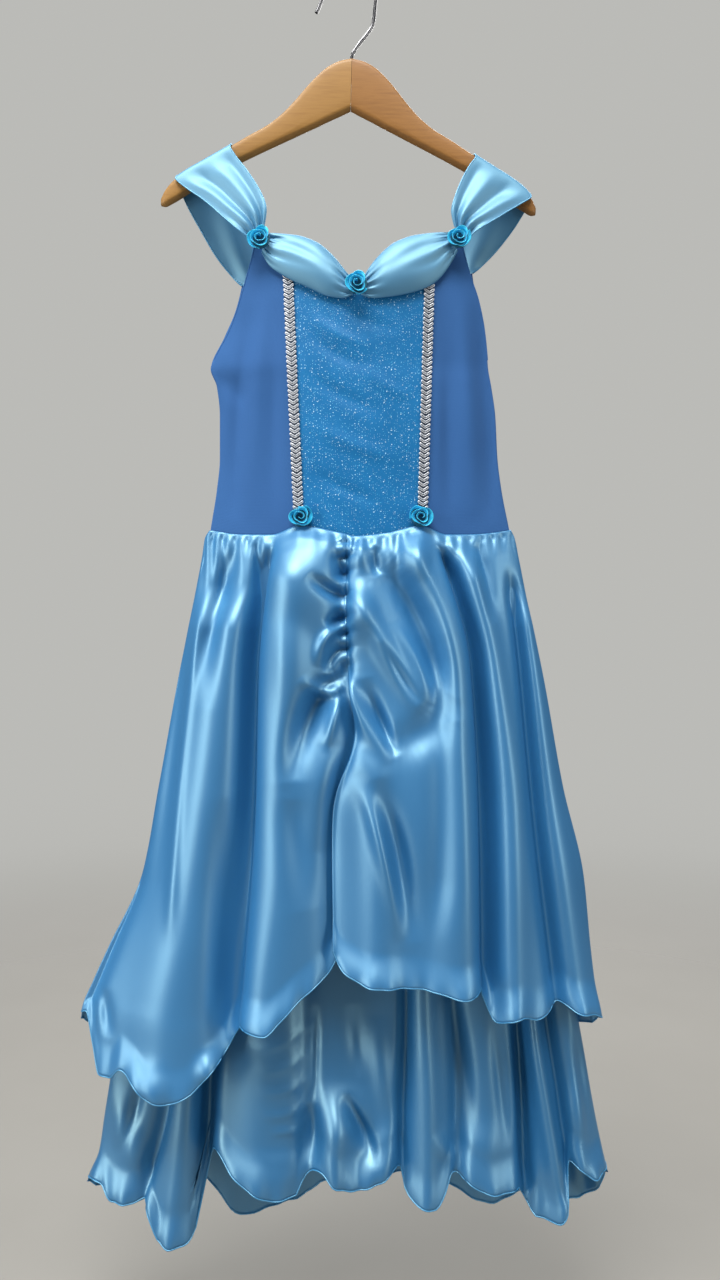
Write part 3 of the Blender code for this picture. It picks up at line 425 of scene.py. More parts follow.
def make_wire(name):
    wire = Finish(name)
    haze = wire.noise(wire.place(), 420, 2, 0.5)
    wire.set(
        Base_Color=wire.blend(haze, (0.15, 0.15, 0.16), (0.24, 0.24, 0.25)),
        Metallic=1.0,
        Roughness=0.22 + haze * 0.04,
    )
    return wire.material


wood_left = make_wood("varnished wood left", (0.36, 0.19, 0.05), (0.3, 0.15, 0.038), radians(33))
wood_right = make_wood("varnished wood right", (0.31, 0.142, 0.034), (0.24, 0.105, 0.024), radians(-33))
wire = make_wire("plated wire")
print("Wood and wire are ready")

# %% [markdown]
# ## Reading a form from a short table
#
# Each panel is a function of two numbers: u runs across it and v down it. The function reads short
# tables in millimetres, where x runs to the right and drop is the distance below the hook. A cubic
# curve that never swings past its points joins the rows, so a table stays short and the cloth
# stays smooth.

# %% Curve reading
CLOTH = 1.2
SEAM_GAP = 0.3


def column(table, name):
    return np.array([getattr(row, name) for row in table], float)


def smooth(at, stations, values):
    """A cubic curve through the stations that doesn't swing past them."""
    steps = np.diff(stations)
    slopes = np.diff(values) / steps
    pairs = slopes[:-1] + slopes[1:]
    inner = np.where(slopes[:-1] * slopes[1:] > 0, 2 * slopes[:-1] * slopes[1:] / np.where(pairs == 0, 1, pairs), 0)
    tangents = np.concatenate([slopes[:1], inner, slopes[-1:]])
    at = np.clip(at, stations[0], stations[-1])
    i = np.clip(np.searchsorted(stations, at) - 1, 0, len(steps) - 1)
    t = (at - stations[i]) / steps[i]
    return (
        (2 * t**3 - 3 * t**2 + 1) * values[i]
        + (t**3 - 2 * t**2 + t) * steps[i] * tangents[i]
        + (3 * t**2 - 2 * t**3) * values[i + 1]
        + (t**3 - t**2) * steps[i] * tangents[i + 1]
    )


def read(table, at, name, by="drop"):
    return smooth(at, column(table, by), column(table, name))


def level(table, x):
    return smooth(x, column(table, "x"), column(table, "drop"))


def rise(t):
    t = np.clip(t, 0, 1)
    return t * t * (3 - 2 * t)


print("A rise of a half is", float(rise(0.5)))

# %% Bodice tables
# The knit bodice: its outline, how far its side edges stand forward or back, and its swell.
BodiceRow = namedtuple("BodiceRow", "drop left right edge front back")
BODICE = (
    BodiceRow(268, -92, 104, 11.5, 4, 4),
    BodiceRow(283, -95, 108, 10, 9, 6),
    BodiceRow(304, -101, 114, 8, 14, 9),
    BodiceRow(327, -108, 122, 6, 18, 13),
    BodiceRow(354, -118, 128, 3, 21.5, 16),
    BodiceRow(380, -132, 131, 1.2, 23.5, 18),
    BodiceRow(392, -137, 132, 0.8, 24, 19),
    BodiceRow(409, -131, 135, 0.8, 24.5, 20),
    BodiceRow(438, -128, 139, 0.8, 24.5, 20),
    BodiceRow(478, -128, 141, 0.8, 24, 20),
    BodiceRow(510, -131, 145, 0.8, 23.5, 19.5),
    BodiceRow(552, -137.5, 153.2, 0.8, 23.5, 19.5),
    BodiceRow(562, -138.5, 155, 0.8, 23.5, 19.5),
)

# The back bodice has its own armholes: its shoulder corners stand further out than the front's.
EdgeRow = namedtuple("EdgeRow", "drop left right")
BACK_EDGE = (
    EdgeRow(290, -105, 117),
    EdgeRow(310, -108, 119.5),
    EdgeRow(335, -114, 125),
    EdgeRow(360, -124, 130),
    EdgeRow(392, -137, 132),
    EdgeRow(409, -131, 135),
    EdgeRow(438, -128, 139),
    EdgeRow(478, -128, 141),
    EdgeRow(510, -131, 145),
    EdgeRow(552, -137.5, 153.2),
    EdgeRow(562, -138.5, 155),
)

# Edges that run across the dress, as the drop at each x.
Level = namedtuple("Level", "x drop")
WAIST = (
    Level(-150, 549),
    Level(-134, 551),
    Level(-109, 555),
    Level(-76, 556),
    Level(-50, 548),
    Level(-10, 555),
    Level(3, 558),
    Level(33, 555),
    Level(66, 548),
    Level(90, 556),
    Level(120, 555),
    Level(160, 549),
)
NECKLINE = (
    Level(-92, 270),
    Level(-75, 280),
    Level(-52, 284),
    Level(-30, 292),
    Level(-14, 307),
    Level(5, 323),
    Level(20, 311),
    Level(39, 292),
    Level(57, 284),
    Level(85, 280),
    Level(103, 270),
)
WAIST_BACK = (
    Level(-160, 550),
    Level(-134, 551),
    Level(-60, 555),
    Level(10, 557),
    Level(80, 554),
    Level(160, 549),
)
BACK_NECKLINE = (
    Level(-108, 309),
    Level(-60, 319),
    Level(5, 323),
    Level(70, 316),
    Level(119, 296),
)

# The two seams beside the glitter panel, which the braids cover.
SeamRow = namedtuple("SeamRow", "drop left right")
PRINCESS_SEAMS = (SeamRow(282, -62, 75), SeamRow(560, -49.5, 66.5))

print(len(BODICE), "rows for the bodice")

# %% Skirt tables
# The skirts hang from the waist seam: fall is the distance below it, square the section's form.
SkirtRow = namedtuple("SkirtRow", "fall left right front back square edge")
OVERSKIRT = (
    SkirtRow(0, -138.3, 154.0, 24.3, 20.3, 0.95, 0.75),
    SkirtRow(8, -142.5, 157.5, 31, 26, 0.85, 0.7),
    SkirtRow(25, -145, 161, 38, 31, 0.7, 0.5),
    SkirtRow(68, -153, 169.5, 45, 34, 0.6, 0.35),
    SkirtRow(148, -169, 186, 51, 36, 0.55, 0.25),
    SkirtRow(248, -187, 204, 57, 39, 0.55, 0.25),
    SkirtRow(333, -203, 224, 61, 42, 0.55, 0.25),
    SkirtRow(405, -236, 231, 63, 44, 0.55, 0.25),
    SkirtRow(438, -251, 235, 64, 45, 0.55, 0.25),
    SkirtRow(466, -262, 240, 65, 46, 0.55, 0.25),
    SkirtRow(540, -268, 248, 66, 47, 0.55, 0.25),
)
UNDERSKIRT = (
    SkirtRow(0, -133.5, 149.2, 22.8, 18.8, 0.95, 0.75),
    SkirtRow(8, -134, 149.8, 20.5, 17.5, 0.9, 0.75),
    SkirtRow(25, -137.5, 153, 17.5, 16.5, 0.8, 0.7),
    SkirtRow(68, -147, 163.5, 15, 17, 0.7, 0.65),
    SkirtRow(148, -162, 180, 14, 20, 0.6, 0.6),
    SkirtRow(248, -180, 196, 15, 23, 0.55, 0.6),
    SkirtRow(348, -197, 210, 18, 26, 0.55, 0.6),
    SkirtRow(452, -222, 217, 25, 30, 0.55, 0.5),
    SkirtRow(508, -231, 226, 33, 32, 0.55, 0.4),
    SkirtRow(565, -240, 236, 40, 34, 0.55, 0.35),
    SkirtRow(598, -245, 243, 44, 35, 0.55, 0.35),
    SkirtRow(630, -257, 250, 47, 36, 0.55, 0.35),
    SkirtRow(690, -259, 254, 49, 37, 0.55, 0.35),
)

print(len(OVERSKIRT), "and", len(UNDERSKIRT), "rows for the skirts")

# %% Hem tables
# Hems, each a row for every dip and rise of the wavy edge.
OVER_HEM_LEFT = (
    Level(-268, 1018),
    Level(-256, 1012),
    Level(-247, 1038),
    Level(-237, 1062),
    Level(-226, 1062),
    Level(-213, 1050),
    Level(-200, 1056),
    Level(-187, 1067),
    Level(-167, 1073),
    Level(-147, 1067),
    Level(-131, 1051),
    Level(-116, 1034),
    Level(-104, 1014),
    Level(-96, 1007),
    Level(-78, 1008),
    Level(-64, 997),
    Level(-49, 982),
    Level(-34, 970),
    Level(-21, 959),
    Level(-12, 944),
)
OVER_HEM_RIGHT = (
    Level(-14, 938),
    Level(-8, 948),
    Level(0, 957),
    Level(16, 966),
    Level(49, 969),
    Level(75, 973),
    Level(104, 978),
    Level(116, 974),
    Level(122, 986),
    Level(133, 1006),
    Level(144, 1002),
    Level(156, 999),
    Level(171, 1005),
    Level(183, 1002),
    Level(195, 995),
    Level(211, 1002),
    Level(228, 1006),
    Level(244, 1019),
)
OVER_HEM_BACK = (
    Level(-268, 1018),
    Level(-235, 1040),
    Level(-190, 1028),
    Level(-140, 1046),
    Level(-95, 1030),
    Level(-50, 1047),
    Level(0, 1034),
    Level(45, 1048),
    Level(95, 1032),
    Level(140, 1044),
    Level(190, 1026),
    Level(222, 1034),
    Level(244, 1019),
)
UNDER_HEM_FRONT = (
    Level(-260, 1178),
    Level(-248, 1171),
    Level(-239, 1173),
    Level(-226, 1185),
    Level(-209, 1185),
    Level(-194, 1181),
    Level(-186, 1192),
    Level(-179, 1209),
    Level(-167, 1214),
    Level(-154, 1213),
    Level(-145, 1205),
    Level(-138, 1162),
    Level(-128, 1131),
    Level(-110, 1147),
    Level(-87, 1161),
    Level(-70, 1168),
    Level(-52, 1167),
    Level(-43, 1150),
    Level(-29, 1141),
    Level(-15, 1151),
    Level(8, 1157),
    Level(28, 1152),
    Level(44, 1144),
    Level(51, 1160),
    Level(61, 1172),
    Level(77, 1175),
    Level(87, 1163),
    Level(93, 1150),
    Level(105, 1154),
    Level(120, 1162),
    Level(140, 1166),
    Level(155, 1166),
    Level(163, 1182),
    Level(174, 1195),
    Level(191, 1195),
    Level(200, 1186),
    Level(205, 1146),
    Level(214, 1151),
    Level(231, 1162),
    Level(241, 1160),
    Level(252, 1164),
)
UNDER_HEM_BACK = (
    Level(-260, 1178),
    Level(-215, 1205),
    Level(-150, 1190),
    Level(-107, 1228),
    Level(-60, 1222),
    Level(-20, 1195),
    Level(40, 1192),
    Level(90, 1196),
    Level(145, 1217),
    Level(190, 1200),
    Level(225, 1208),
    Level(252, 1164),
)

print("The left hem runs from", OVER_HEM_LEFT[0].drop, "to", OVER_HEM_LEFT[-1].drop, "mm down")

# %% Fold tables
# Folds. out is how far a ridge stands out, or a trough goes in if it is below zero. x0 to x3 are its
# places at the four heights of its skirt, left and right its half-widths at the top, flare how many
# times wider it is at the hem, lap how far its left (-) or right (+) lip laps over the trough, and
# begin and end the drops between which it shows.
Fold = namedtuple("Fold", "name out x0 x1 x2 x3 left right flare lap begin end")
OVER_HEIGHTS = (560, 680, 820, 1000)
OVER_FOLDS = (
    Fold("left edge valley", -10, -150, -168, -190, -252, 7, 7, 1.3, 0, 860, 1200),
    Fold("left flute crest", 17, -118, -126, -142, -172, 24, 24, 1.6, 0, 600, 1200),
    Fold("left waist trough", -8, -114, -138, -150, -160, 8, 8, 1.2, 0, 552, 705),
    Fold("left rim ridge", 4, -136, -150, -163, -170, 5, 5, 1.3, 0, 600, 940),
    Fold("left deep valley", -27, -75, -89, -93, -106, 10, 7, 1.9, 5, 552, 1200),
    Fold("left centre ridge", 13, -64, -62, -62, -80, 17, 24, 1.4, 0, 556, 1100),
    Fold("centre seam valley", -12, -5, -5, -15, -13, 12, 9, 1.3, 4, 545, 1200),
    Fold("slanting trough", -6, 45, 78, 84, 78, 11, 11, 1.3, 0, 640, 930),
    Fold("right centre ridge", 13, 58, 92, 101, 104, 22, 11, 1.4, 0, 552, 1100),
    Fold("seam end ridge", 9, -2, 4, 24, 26, 12, 14, 1.5, 0, 735, 1100),
    Fold("right deep valley", -25, 82, 113, 120, 122, 6, 10, 1.6, -4, 552, 1200),
    Fold("right flute crest", 13, 107, 132, 149, 150, 14, 12, 1.5, 0, 556, 1200),
    Fold("right narrow valley", -15, 148, 161, 172, 194, 5, 6, 1.6, 0, 580, 1200),
    Fold("right edge crest", 10, 156, 173, 192, 218, 10, 12, 1.7, 0, 600, 1200),
)
UNDER_HEIGHTS = (900, 1000, 1100, 1180)
UNDER_FOLDS = (
    Fold("left flute", 13, -150, -153, -158, -166, 13, 13, 1.2, 0, 960, 1300),
    Fold("left flute valley", -13, -155, -162, -174, -196, 10, 7, 1.1, 3, 960, 1300),
    Fold("open gap", -26, -125, -129, -137, -137, 8, 8, 1.1, 0, 940, 1300),
    Fold("broad front", 11, -80, -84, -88, -92, 24, 24, 1.2, 0, 940, 1300),
    Fold("middle trough", -7, -46, -44, -42, -42, 10, 10, 1.0, 0, 930, 1300),
    Fold("turned-up wave", 17, -2, -4, -10, -20, 12, 14, 1.6, 0, 1065, 1300),
    Fold("right flute valley", -14, 52, 53, 49, 45, 7, 7, 1.1, 3, 930, 1300),
    Fold("right flute", 15, 64, 67, 71, 71, 12, 12, 1.2, 0, 930, 1300),
    Fold("right flute end", -10, 94, 97, 100, 97, 7, 7, 1.1, 0, 930, 1300),
    Fold("broad right", 6, 125, 126, 128, 130, 17, 17, 1.2, 0, 950, 1300),
    Fold("right open gap", -20, 156, 159, 163, 164, 6, 6, 1.1, 0, 960, 1300),
    Fold("narrow flute", 18, 164, 168, 183, 196, 8, 9, 1.3, 0, 960, 1300),
    Fold("right valley", -10, 176, 184, 197, 207, 6, 6, 1.1, 0, 960, 1300),
    Fold("right flute crest", 8, 200, 206, 216, 230, 12, 10, 1.2, 0, 960, 1300),
)

GATHER_PITCH = 13.0
GATHER_OUT = 1.7
GATHER_FALL = 17.0
RUCHE_PITCH = 17.5
RUCHE_OUT = 3.4
RUCHE_TOP, RUCHE_END = 560.0, 672.0
RUCHE_REACH = 8.0
HEM_KICK, HEM_KICK_HEIGHT = 7.5, 30.0
OVER_BELOW, UNDER_BELOW = -1.6, 2.6  # from the waist seam down to the skirts' top edges
TOP_OVER = 1.8  # how far the overskirt's top edge stands out over the bodice's
SEAM_BEND, SEAM_BEND_REACH = 15.0, 44.0  # how far the seam swings to the right where its gathers end
LAYER_CLEAR = 3.2  # between the middles of two layers of cloth
HEM_STEPS = 14  # each brings a row of a skirt halfway nearer to its place above the hem
BACK_FLUTES, BACK_FLUTE_TOP, BACK_FLUTE_HEM = 9, 3.0, 9.0
SEAM_TUCK_SHARE = 0.02  # of the front, by which the left panel goes on behind the right one

print("The gathers under the waist are", GATHER_PITCH, "mm apart")

# %% Swag and strap tables
# The neck swags: each runs from a shoulder rosette to the middle one between these two edges.
SwagRow = namedtuple("SwagRow", "upper_x upper_drop lower_x lower_drop puff")
SWAG_LEFT = (
    SwagRow(-80, 266, -86.5, 284, 1.5),
    SwagRow(-68, 267, -79, 297, 6),
    SwagRow(-52, 269, -62, 310, 9),
    SwagRow(-34, 276, -41, 321, 10),
    SwagRow(-19, 289, -22, 330, 8),
    SwagRow(-8, 303, -8, 332, 4.5),
    SwagRow(-0.5, 313, 1.0, 329, 1.5),
)
SWAG_RIGHT = (
    SwagRow(95, 265, 101, 283, 1.5),
    SwagRow(81, 266, 94, 296, 6),
    SwagRow(60, 269, 80, 314, 9),
    SwagRow(42, 276, 62, 324, 10.5),
    SwagRow(27, 289, 38, 330, 9),
    SwagRow(17, 302, 21, 332, 5),
    SwagRow(10.5, 313, 9, 329, 1.5),
)
SWAG_PLEATS = 4

# The shoulder straps: from the rosette up over the hanger and down to the back bodice.
StrapRow = namedtuple("StrapRow", "outer_x outer_drop inner_x inner_drop out")
STRAP_LEFT_FRONT = (
    StrapRow(-98, 272.5, -84, 263, -20),
    StrapRow(-108, 265, -81.5, 245, -21.5),
    StrapRow(-122, 252, -87, 228, -19),
    StrapRow(-141, 234, -100, 206, -14),
    StrapRow(-158, 221, -110, 192, -10),
)
STRAP_LEFT_BACK = (
    StrapRow(-160, 232, -110, 198, 9),
    StrapRow(-150, 250, -104, 220, 10.5),
    StrapRow(-134, 277, -96, 250, 12.5),
    StrapRow(-117, 298, -88, 284, 14),
    StrapRow(-107.5, 308, -76, 316, 14.5),
)
STRAP_RIGHT_FRONT = (
    StrapRow(111, 272.5, 98, 262, -20),
    StrapRow(120, 265, 95, 247, -21.5),
    StrapRow(133, 256, 99, 231, -19),
    StrapRow(150, 244, 106, 213, -14),
    StrapRow(163, 235, 113, 199, -10),
)
STRAP_RIGHT_BACK = (
    StrapRow(164, 243, 114, 207, 9),
    StrapRow(155, 256, 109, 226, 10.5),
    StrapRow(141, 273, 102, 250, 12.5),
    StrapRow(127, 287, 95, 276, 14),
    StrapRow(118.5, 296, 88, 312, 14.5),
)
STRAP_TOP_LEFT, STRAP_TOP_RIGHT = (-169.0, -117.0), (172.0, 119.0)
STRAP_CLEAR = 2.2  # from the wood to the middle of the strap's cloth
STRAP_ARC = 5  # cross-sections over the top of the hanger
HANGER_THICK, HANGER_TILT = 12.0, radians(1.4)

print(len(SWAG_LEFT), "rows for a swag")

# %% Hanger and rose sizes
# The hanger's arm, from the mitre at the middle out to the shoulder end, as vertical sections.
ArmRow = namedtuple("ArmRow", "out top bottom thick")
ARM = (
    ArmRow(0, 91.5, 141, 12),
    ArmRow(11, 94, 146.5, 12),
    ArmRow(22, 99.5, 151.8, 12),
    ArmRow(32, 108, 157, 12),
    ArmRow(43, 120, 162.3, 12),
    ArmRow(54, 133.5, 167.8, 12),
    ArmRow(66, 146.5, 173.7, 12),
    ArmRow(80, 158, 180.6, 12),
    ArmRow(97, 168, 189.2, 12),
    ArmRow(118, 181, 200.5, 12),
    ArmRow(142, 195.5, 215.5, 12),
    ArmRow(160, 206.5, 228, 12),
    ArmRow(171, 215, 235, 11.5),
    ArmRow(178, 224, 238.5, 9.5),
    ArmRow(181.5, 231, 238, 5),
)
ARM_CORNER = 5.0
HOOK_RADIUS, HOOK_CENTRE_X, SHAFT_DEPTH, WIRE_RADIUS = 26.5, -2.0, 24.0, 1.75
ROSETTE_RADIUS = 11.5

print(len(ARM), "rows for an arm")

# %% [markdown]
# ## Folds
#
# A fold is a ridge or a trough that runs down the skirt and gets wider on its way. Its lip may lap
# over the trough beside it, which gives the sharp dark line of a real overlap. The folds are the
# same as those of the solids. On top of them come creases: short soft ridges and troughs along a
# bent line, placed where the photograph shows them, mostly round the drawn-up seam.

# %% Fold and crease functions
Crease = namedtuple("Crease", "x0 drop0 x1 drop1 x2 drop2 width out")


def path(fold, drop, heights):
    centre = smooth(drop, np.array(heights, float), np.array([fold.x0, fold.x1, fold.x2, fold.x3], float))
    if fold.name == "centre seam valley":
        centre = centre + SEAM_BEND * np.exp(-(((drop - 744) / SEAM_BEND_REACH) ** 2))
    return centre


def folded(folds, heights, x, drop):
    """How far the folds carry a point outwards and sideways."""
    outwards, sideways = np.zeros_like(x), np.zeros_like(x)
    for fold in folds:
        centre = path(fold, drop, heights)
        down = np.clip((drop - heights[0]) / (heights[-1] - heights[0]), 0, 1)
        width = np.where(x < centre, fold.left, fold.right) * (1 + (fold.flare - 1) * down)
        away = (x - centre) / width
        shown = rise((drop - fold.begin) / 45) * (1 - rise((drop - fold.end + 60) / 60))
        outwards += fold.out * shown * np.exp(-(away**2))
        lip = fold.lap * away > 0
        sideways -= lip * fold.lap * shown * away**2 * np.exp(1 - away**2)
    return outwards, sideways


def creased(creases, x, drop):
    """How far the creases carry a point outwards. A crease is a soft line that bends through its three points."""
    total = np.zeros_like(x)
    t = np.linspace(0, 1, 13)
    for crease in creases:
        bend_x = 2 * crease.x1 - (crease.x0 + crease.x2) / 2
        bend_drop = 2 * crease.drop1 - (crease.drop0 + crease.drop2) / 2
        line_x = (1 - t) ** 2 * crease.x0 + 2 * t * (1 - t) * bend_x + t**2 * crease.x2
        line_drop = (1 - t) ** 2 * crease.drop0 + 2 * t * (1 - t) * bend_drop + t**2 * crease.drop2
        reach = 3 * crease.width
        inside = (x > line_x.min() - reach) & (x < line_x.max() + reach)
        inside &= (drop > line_drop.min() - reach) & (drop < line_drop.max() + reach)
        if not inside.any():
            continue
        step_x, step_drop = np.diff(line_x), np.diff(line_drop)
        to_x, to_drop = x[inside, None] - line_x[:-1], drop[inside, None] - line_drop[:-1]
        share = np.clip((to_x * step_x + to_drop * step_drop) / (step_x**2 + step_drop**2), 0, 1)
        away = (to_x - share * step_x) ** 2 + (to_drop - share * step_drop) ** 2
        nearest = away.argmin(axis=1)
        along = (nearest + share[np.arange(len(nearest)), nearest]) / len(step_x)
        taper = np.sin(pi * np.clip(along, 0.0, 1.0)) ** 1.1
        total[inside] += crease.out * taper * np.exp(-away.min(axis=1) / crease.width**2)
    return total


print(len(OVER_FOLDS), "overskirt folds and", len(UNDER_FOLDS), "underskirt folds")

# %% Puffs and creases beside the drawn-up seam
Dome = namedtuple("Dome", "x drop across down lean out")
DOMES = (
    Dome(-40, 598, 30, 40, 0, 12),
    Dome(-56, 664, 18, 38, 0, 6),
    Dome(6, 630, 12, 19, 0, 10),
    Dome(9, 574, 9, 13, 0, 6),
    Dome(60, 574, 11, 16, 0, 8),
    Dome(97, 640, 14, 90, 3, 6),
    Dome(92, 840, 16, 110, 0, 6),
    Dome(64, 800, 28, 84, 0, 8),
    Dome(-128, 1045, 11, 12, 0, 9),
    Dome(-184, 1056, 16, 14, 0, 7),
)
OVER_CREASES = (
    Crease(-40, 594, -20, 609, -7, 611, 6, -11),
    Crease(-17, 570, -10, 590, -6, 601, 5, -8),
    Crease(-24, 642, -14, 635, -6, 630, 5, -8),
    Crease(-5, 644, -24, 654, -31, 680, 5, 7),
    Crease(-7, 658, -19, 672, -24, 686, 4.5, -8),
    Crease(-46, 688, -24, 703, -4, 689, 6, 9),
    Crease(0, 690, -36, 718, -56, 800, 12, -20),
    Crease(-10, 704, -17, 730, -24, 758, 5, 6),
    Crease(-54, 784, -50, 830, -42, 900, 15, -8),
    Crease(-22, 752, -24, 790, -27, 850, 13, 6),
    Crease(24, 566, 22, 582, 25, 596, 5, -8),
    Crease(2, 598, 28, 656, 67, 722, 11, 13),
    Crease(28, 655, 46, 688, 63, 714, 4.5, -6),
    Crease(38, 638, 62, 678, 72, 716, 6, 6),
    Crease(22, 580, 62, 634, 92, 730, 14, -19),
    Crease(90, 704, 66, 740, 36, 748, 16, -8),
    Crease(0, 684, 8, 716, 35, 768, 7, 11),
    Crease(13, 690, 28, 730, 41, 762, 6, -11),
    Crease(6, 780, 28, 845, 44, 930, 7, 9),
    Crease(24, 780, 42, 846, 56, 930, 10, -11),
    Crease(-108, 562, -126, 640, -134, 720, 10, -6),
    Crease(-160, 640, -168, 740, -186, 900, 9, -6),
    Crease(118, 558, 126, 590, 134, 640, 6, -7),
    Crease(-92, 556, -90, 580, -88, 612, 5, -6),
    Crease(-116, 800, -118, 920, -118, 1060, 13, -9),
    Crease(-236, 985, -232, 1006, -228, 1028, 7, -6),
)


def piled(domes, x, drop):
    """Soft puffs side by side. Where two meet, a power sum leaves a crease between them."""
    total = np.zeros_like(x)
    for dome in domes:
        turn = radians(dome.lean)
        across = ((x - dome.x) * cos(turn) - (drop - dome.drop) * sin(turn)) / dome.across
        down = ((x - dome.x) * sin(turn) + (drop - dome.drop) * cos(turn)) / dome.down
        total += (dome.out * np.exp(-0.8 * (across**2 + down**2) ** 1.15)) ** 3
    return np.cbrt(total)


print(len(DOMES), "puffs and", len(OVER_CREASES), "creases on the overskirt")

# %% Creases of the underskirt, swags, straps and bodice
UNDER_DOMES = (
    Dome(-20, 1108, 13, 34, 6, 9),
    Dome(-58, 1060, 25, 70, 0, 7),
    Dome(-62, 1142, 26, 16, 0, 7),
    Dome(30, 1128, 12, 26, -24, 8),
    Dome(118, 1130, 20, 20, 0, 7),
    Dome(-214, 1128, 12, 30, 20, 7),
    Dome(212, 1110, 12, 34, -6, 7),
)
UNDER_CREASES = (
    Crease(-98, 1038, -62, 1030, -28, 1012, 4, 1.4),
    Crease(-92, 1056, -60, 1052, -26, 1036, 4, 1.4),
    Crease(-90, 1074, -60, 1073, -30, 1062, 4, 1.5),
    Crease(-88, 1094, -60, 1094, -32, 1084, 4, 1.4),
    Crease(-76, 1112, -60, 1110, -44, 1114, 3, 1.6),
    Crease(-33, 1000, -34, 1040, -35, 1092, 3.5, -5),
    Crease(-8, 1078, 6, 1104, 24, 1140, 6, -13),
    Crease(-36, 1086, -34, 1112, -36, 1138, 5, -8),
    Crease(2, 1000, 4, 1030, 8, 1066, 8, -5),
    Crease(24, 1010, 28, 1060, 34, 1108, 8, 5),
    Crease(100, 1000, 108, 1060, 112, 1120, 7, -7),
    Crease(134, 1010, 140, 1070, 146, 1130, 6, -5),
    Crease(-200, 1060, -206, 1100, -222, 1150, 6, -6),
    Crease(214, 1030, 220, 1080, 226, 1130, 5, -5),
    Crease(78, 1110, 86, 1128, 96, 1140, 5, 4),
)
print(len(UNDER_CREASES), "creases on the underskirt")

# %% [markdown]
# ## The skirts' forms
#
# A skirt panel hangs from the waist seam. Its cross-section starts as the flat lens of the bodice
# and opens to an ellipse at the hem, and the row table gives its width and depth on the way. Then
# the folds, the waist gathers, the drawn-up seam's puckers and the flare of the hem move its
# points. An upper layer is held just clear of the one under it.

# %% Skirt functions
def gathered(x, fall):
    """The gathers under the waist seam: each is a little wider or deeper than the next."""
    turns = x / GATHER_PITCH + 0.3 * np.sin(x / 19) + 0.12 * np.sin(x / 7.3)
    deep = GATHER_OUT * (1 + 0.35 * np.sin(x / 23 + 1))
    reach = GATHER_FALL * (1 + 0.5 * np.sin(x / 31))
    return deep * np.cos(2 * pi * turns) * rise(fall / 7) * np.exp(-fall / reach)


def ruched(from_seam, drop):
    """The cross gathers of the drawn-up centre seam, as sharp puckers between round puffs."""
    shown = rise((drop - RUCHE_TOP + 8) / 12) * (1 - rise((drop - RUCHE_END) / 12))
    turns = (drop - RUCHE_TOP + 3 * np.sin(drop / 13)) / RUCHE_PITCH
    wave = 1 - 2 * np.abs(np.sin(pi * turns + 0.35 * from_seam / RUCHE_REACH)) ** 0.8
    return -RUCHE_OUT * shown * wave * np.exp(-((from_seam / RUCHE_REACH) ** 2))


def centre_seam(drop):
    seam = next(fold for fold in OVER_FOLDS if fold.name == "centre seam valley")
    return path(seam, drop, OVER_HEIGHTS)


def skirt_section(rows, fall, from_edge):
    """x and the depth share of a point that is from_edge (0 to 1) round a skirt's half."""
    left, right = (read(rows, fall, side, "fall") for side in ("left", "right"))
    across = np.sin(pi * (from_edge - 0.5))
    x = (left + right) / 2 + (right - left) / 2 * across
    return x, np.maximum(1 - across**2, 0) ** read(rows, fall, "square", "fall")


def skirt(rows, hem, side, u, v, below, span=lambda fall: (0.0, 1.0)):
    """Base form of a skirt panel whose top is below the waist seam by that much."""
    waist = WAIST if side == "front" else WAIST_BACK
    fall = v * 450.0
    for _ in range(HEM_STEPS):
        first, last = span(fall)
        x, round_share = skirt_section(rows, fall, first + (last - first) * u)
        top = level(waist, x) + below
        fall = (fall + v * (level(hem, x) - top)) / 2
    depth = read(rows, fall, side, "fall") * round_share + read(rows, fall, "edge", "fall")
    return x, depth, top + fall, fall


def base_depth(rows, side, x, fall):
    left, right = (read(rows, fall, name, "fall") for name in ("left", "right"))
    across = np.clip((x - (left + right) / 2) / ((right - left) / 2), -1, 1)
    swell = read(rows, fall, side, "fall") * (1 - across**2) ** read(rows, fall, "square", "fall")
    return swell + read(rows, fall, "edge", "fall")


def held_out(depth, base, least):
    """Cloth keeps in front of what lies under it, and near a side seam of its own base form."""
    return np.maximum(depth, np.minimum(base, least))


def near_edges(u):
    """Zero at a panel's side seams, and one a little way in."""
    return rise(u / 0.06) * rise((1 - u) / 0.06)


def hem_kick(x, above_hem):
    """The hem flares out, here more and there less."""
    return HEM_KICK * (1 + 0.45 * np.sin(x / 17 + 0.6)) * (1 - rise(above_hem / HEM_KICK_HEIGHT))


def hem_wave(x, above_hem, pitch, out):
    """A rolled hem is a little longer than its cloth, so it ripples."""
    turns = x / pitch + 0.4 * np.sin(x / (1.9 * pitch))
    return out * np.cos(2 * pi * turns) * np.exp(-np.maximum(above_hem, 0) / 11)


def seam_share(fall):
    """Where the centre seam lies, as a share of the front half's width."""
    left, right = (read(OVERSKIRT, fall, side, "fall") for side in ("left", "right"))
    middle, half = (left + right) / 2, (right - left) / 2
    return np.arcsin((centre_seam(fall + 555) - middle) / half) / pi + 0.5


print("The skirt tables have", len(OVERSKIRT) + len(UNDERSKIRT), "rows")

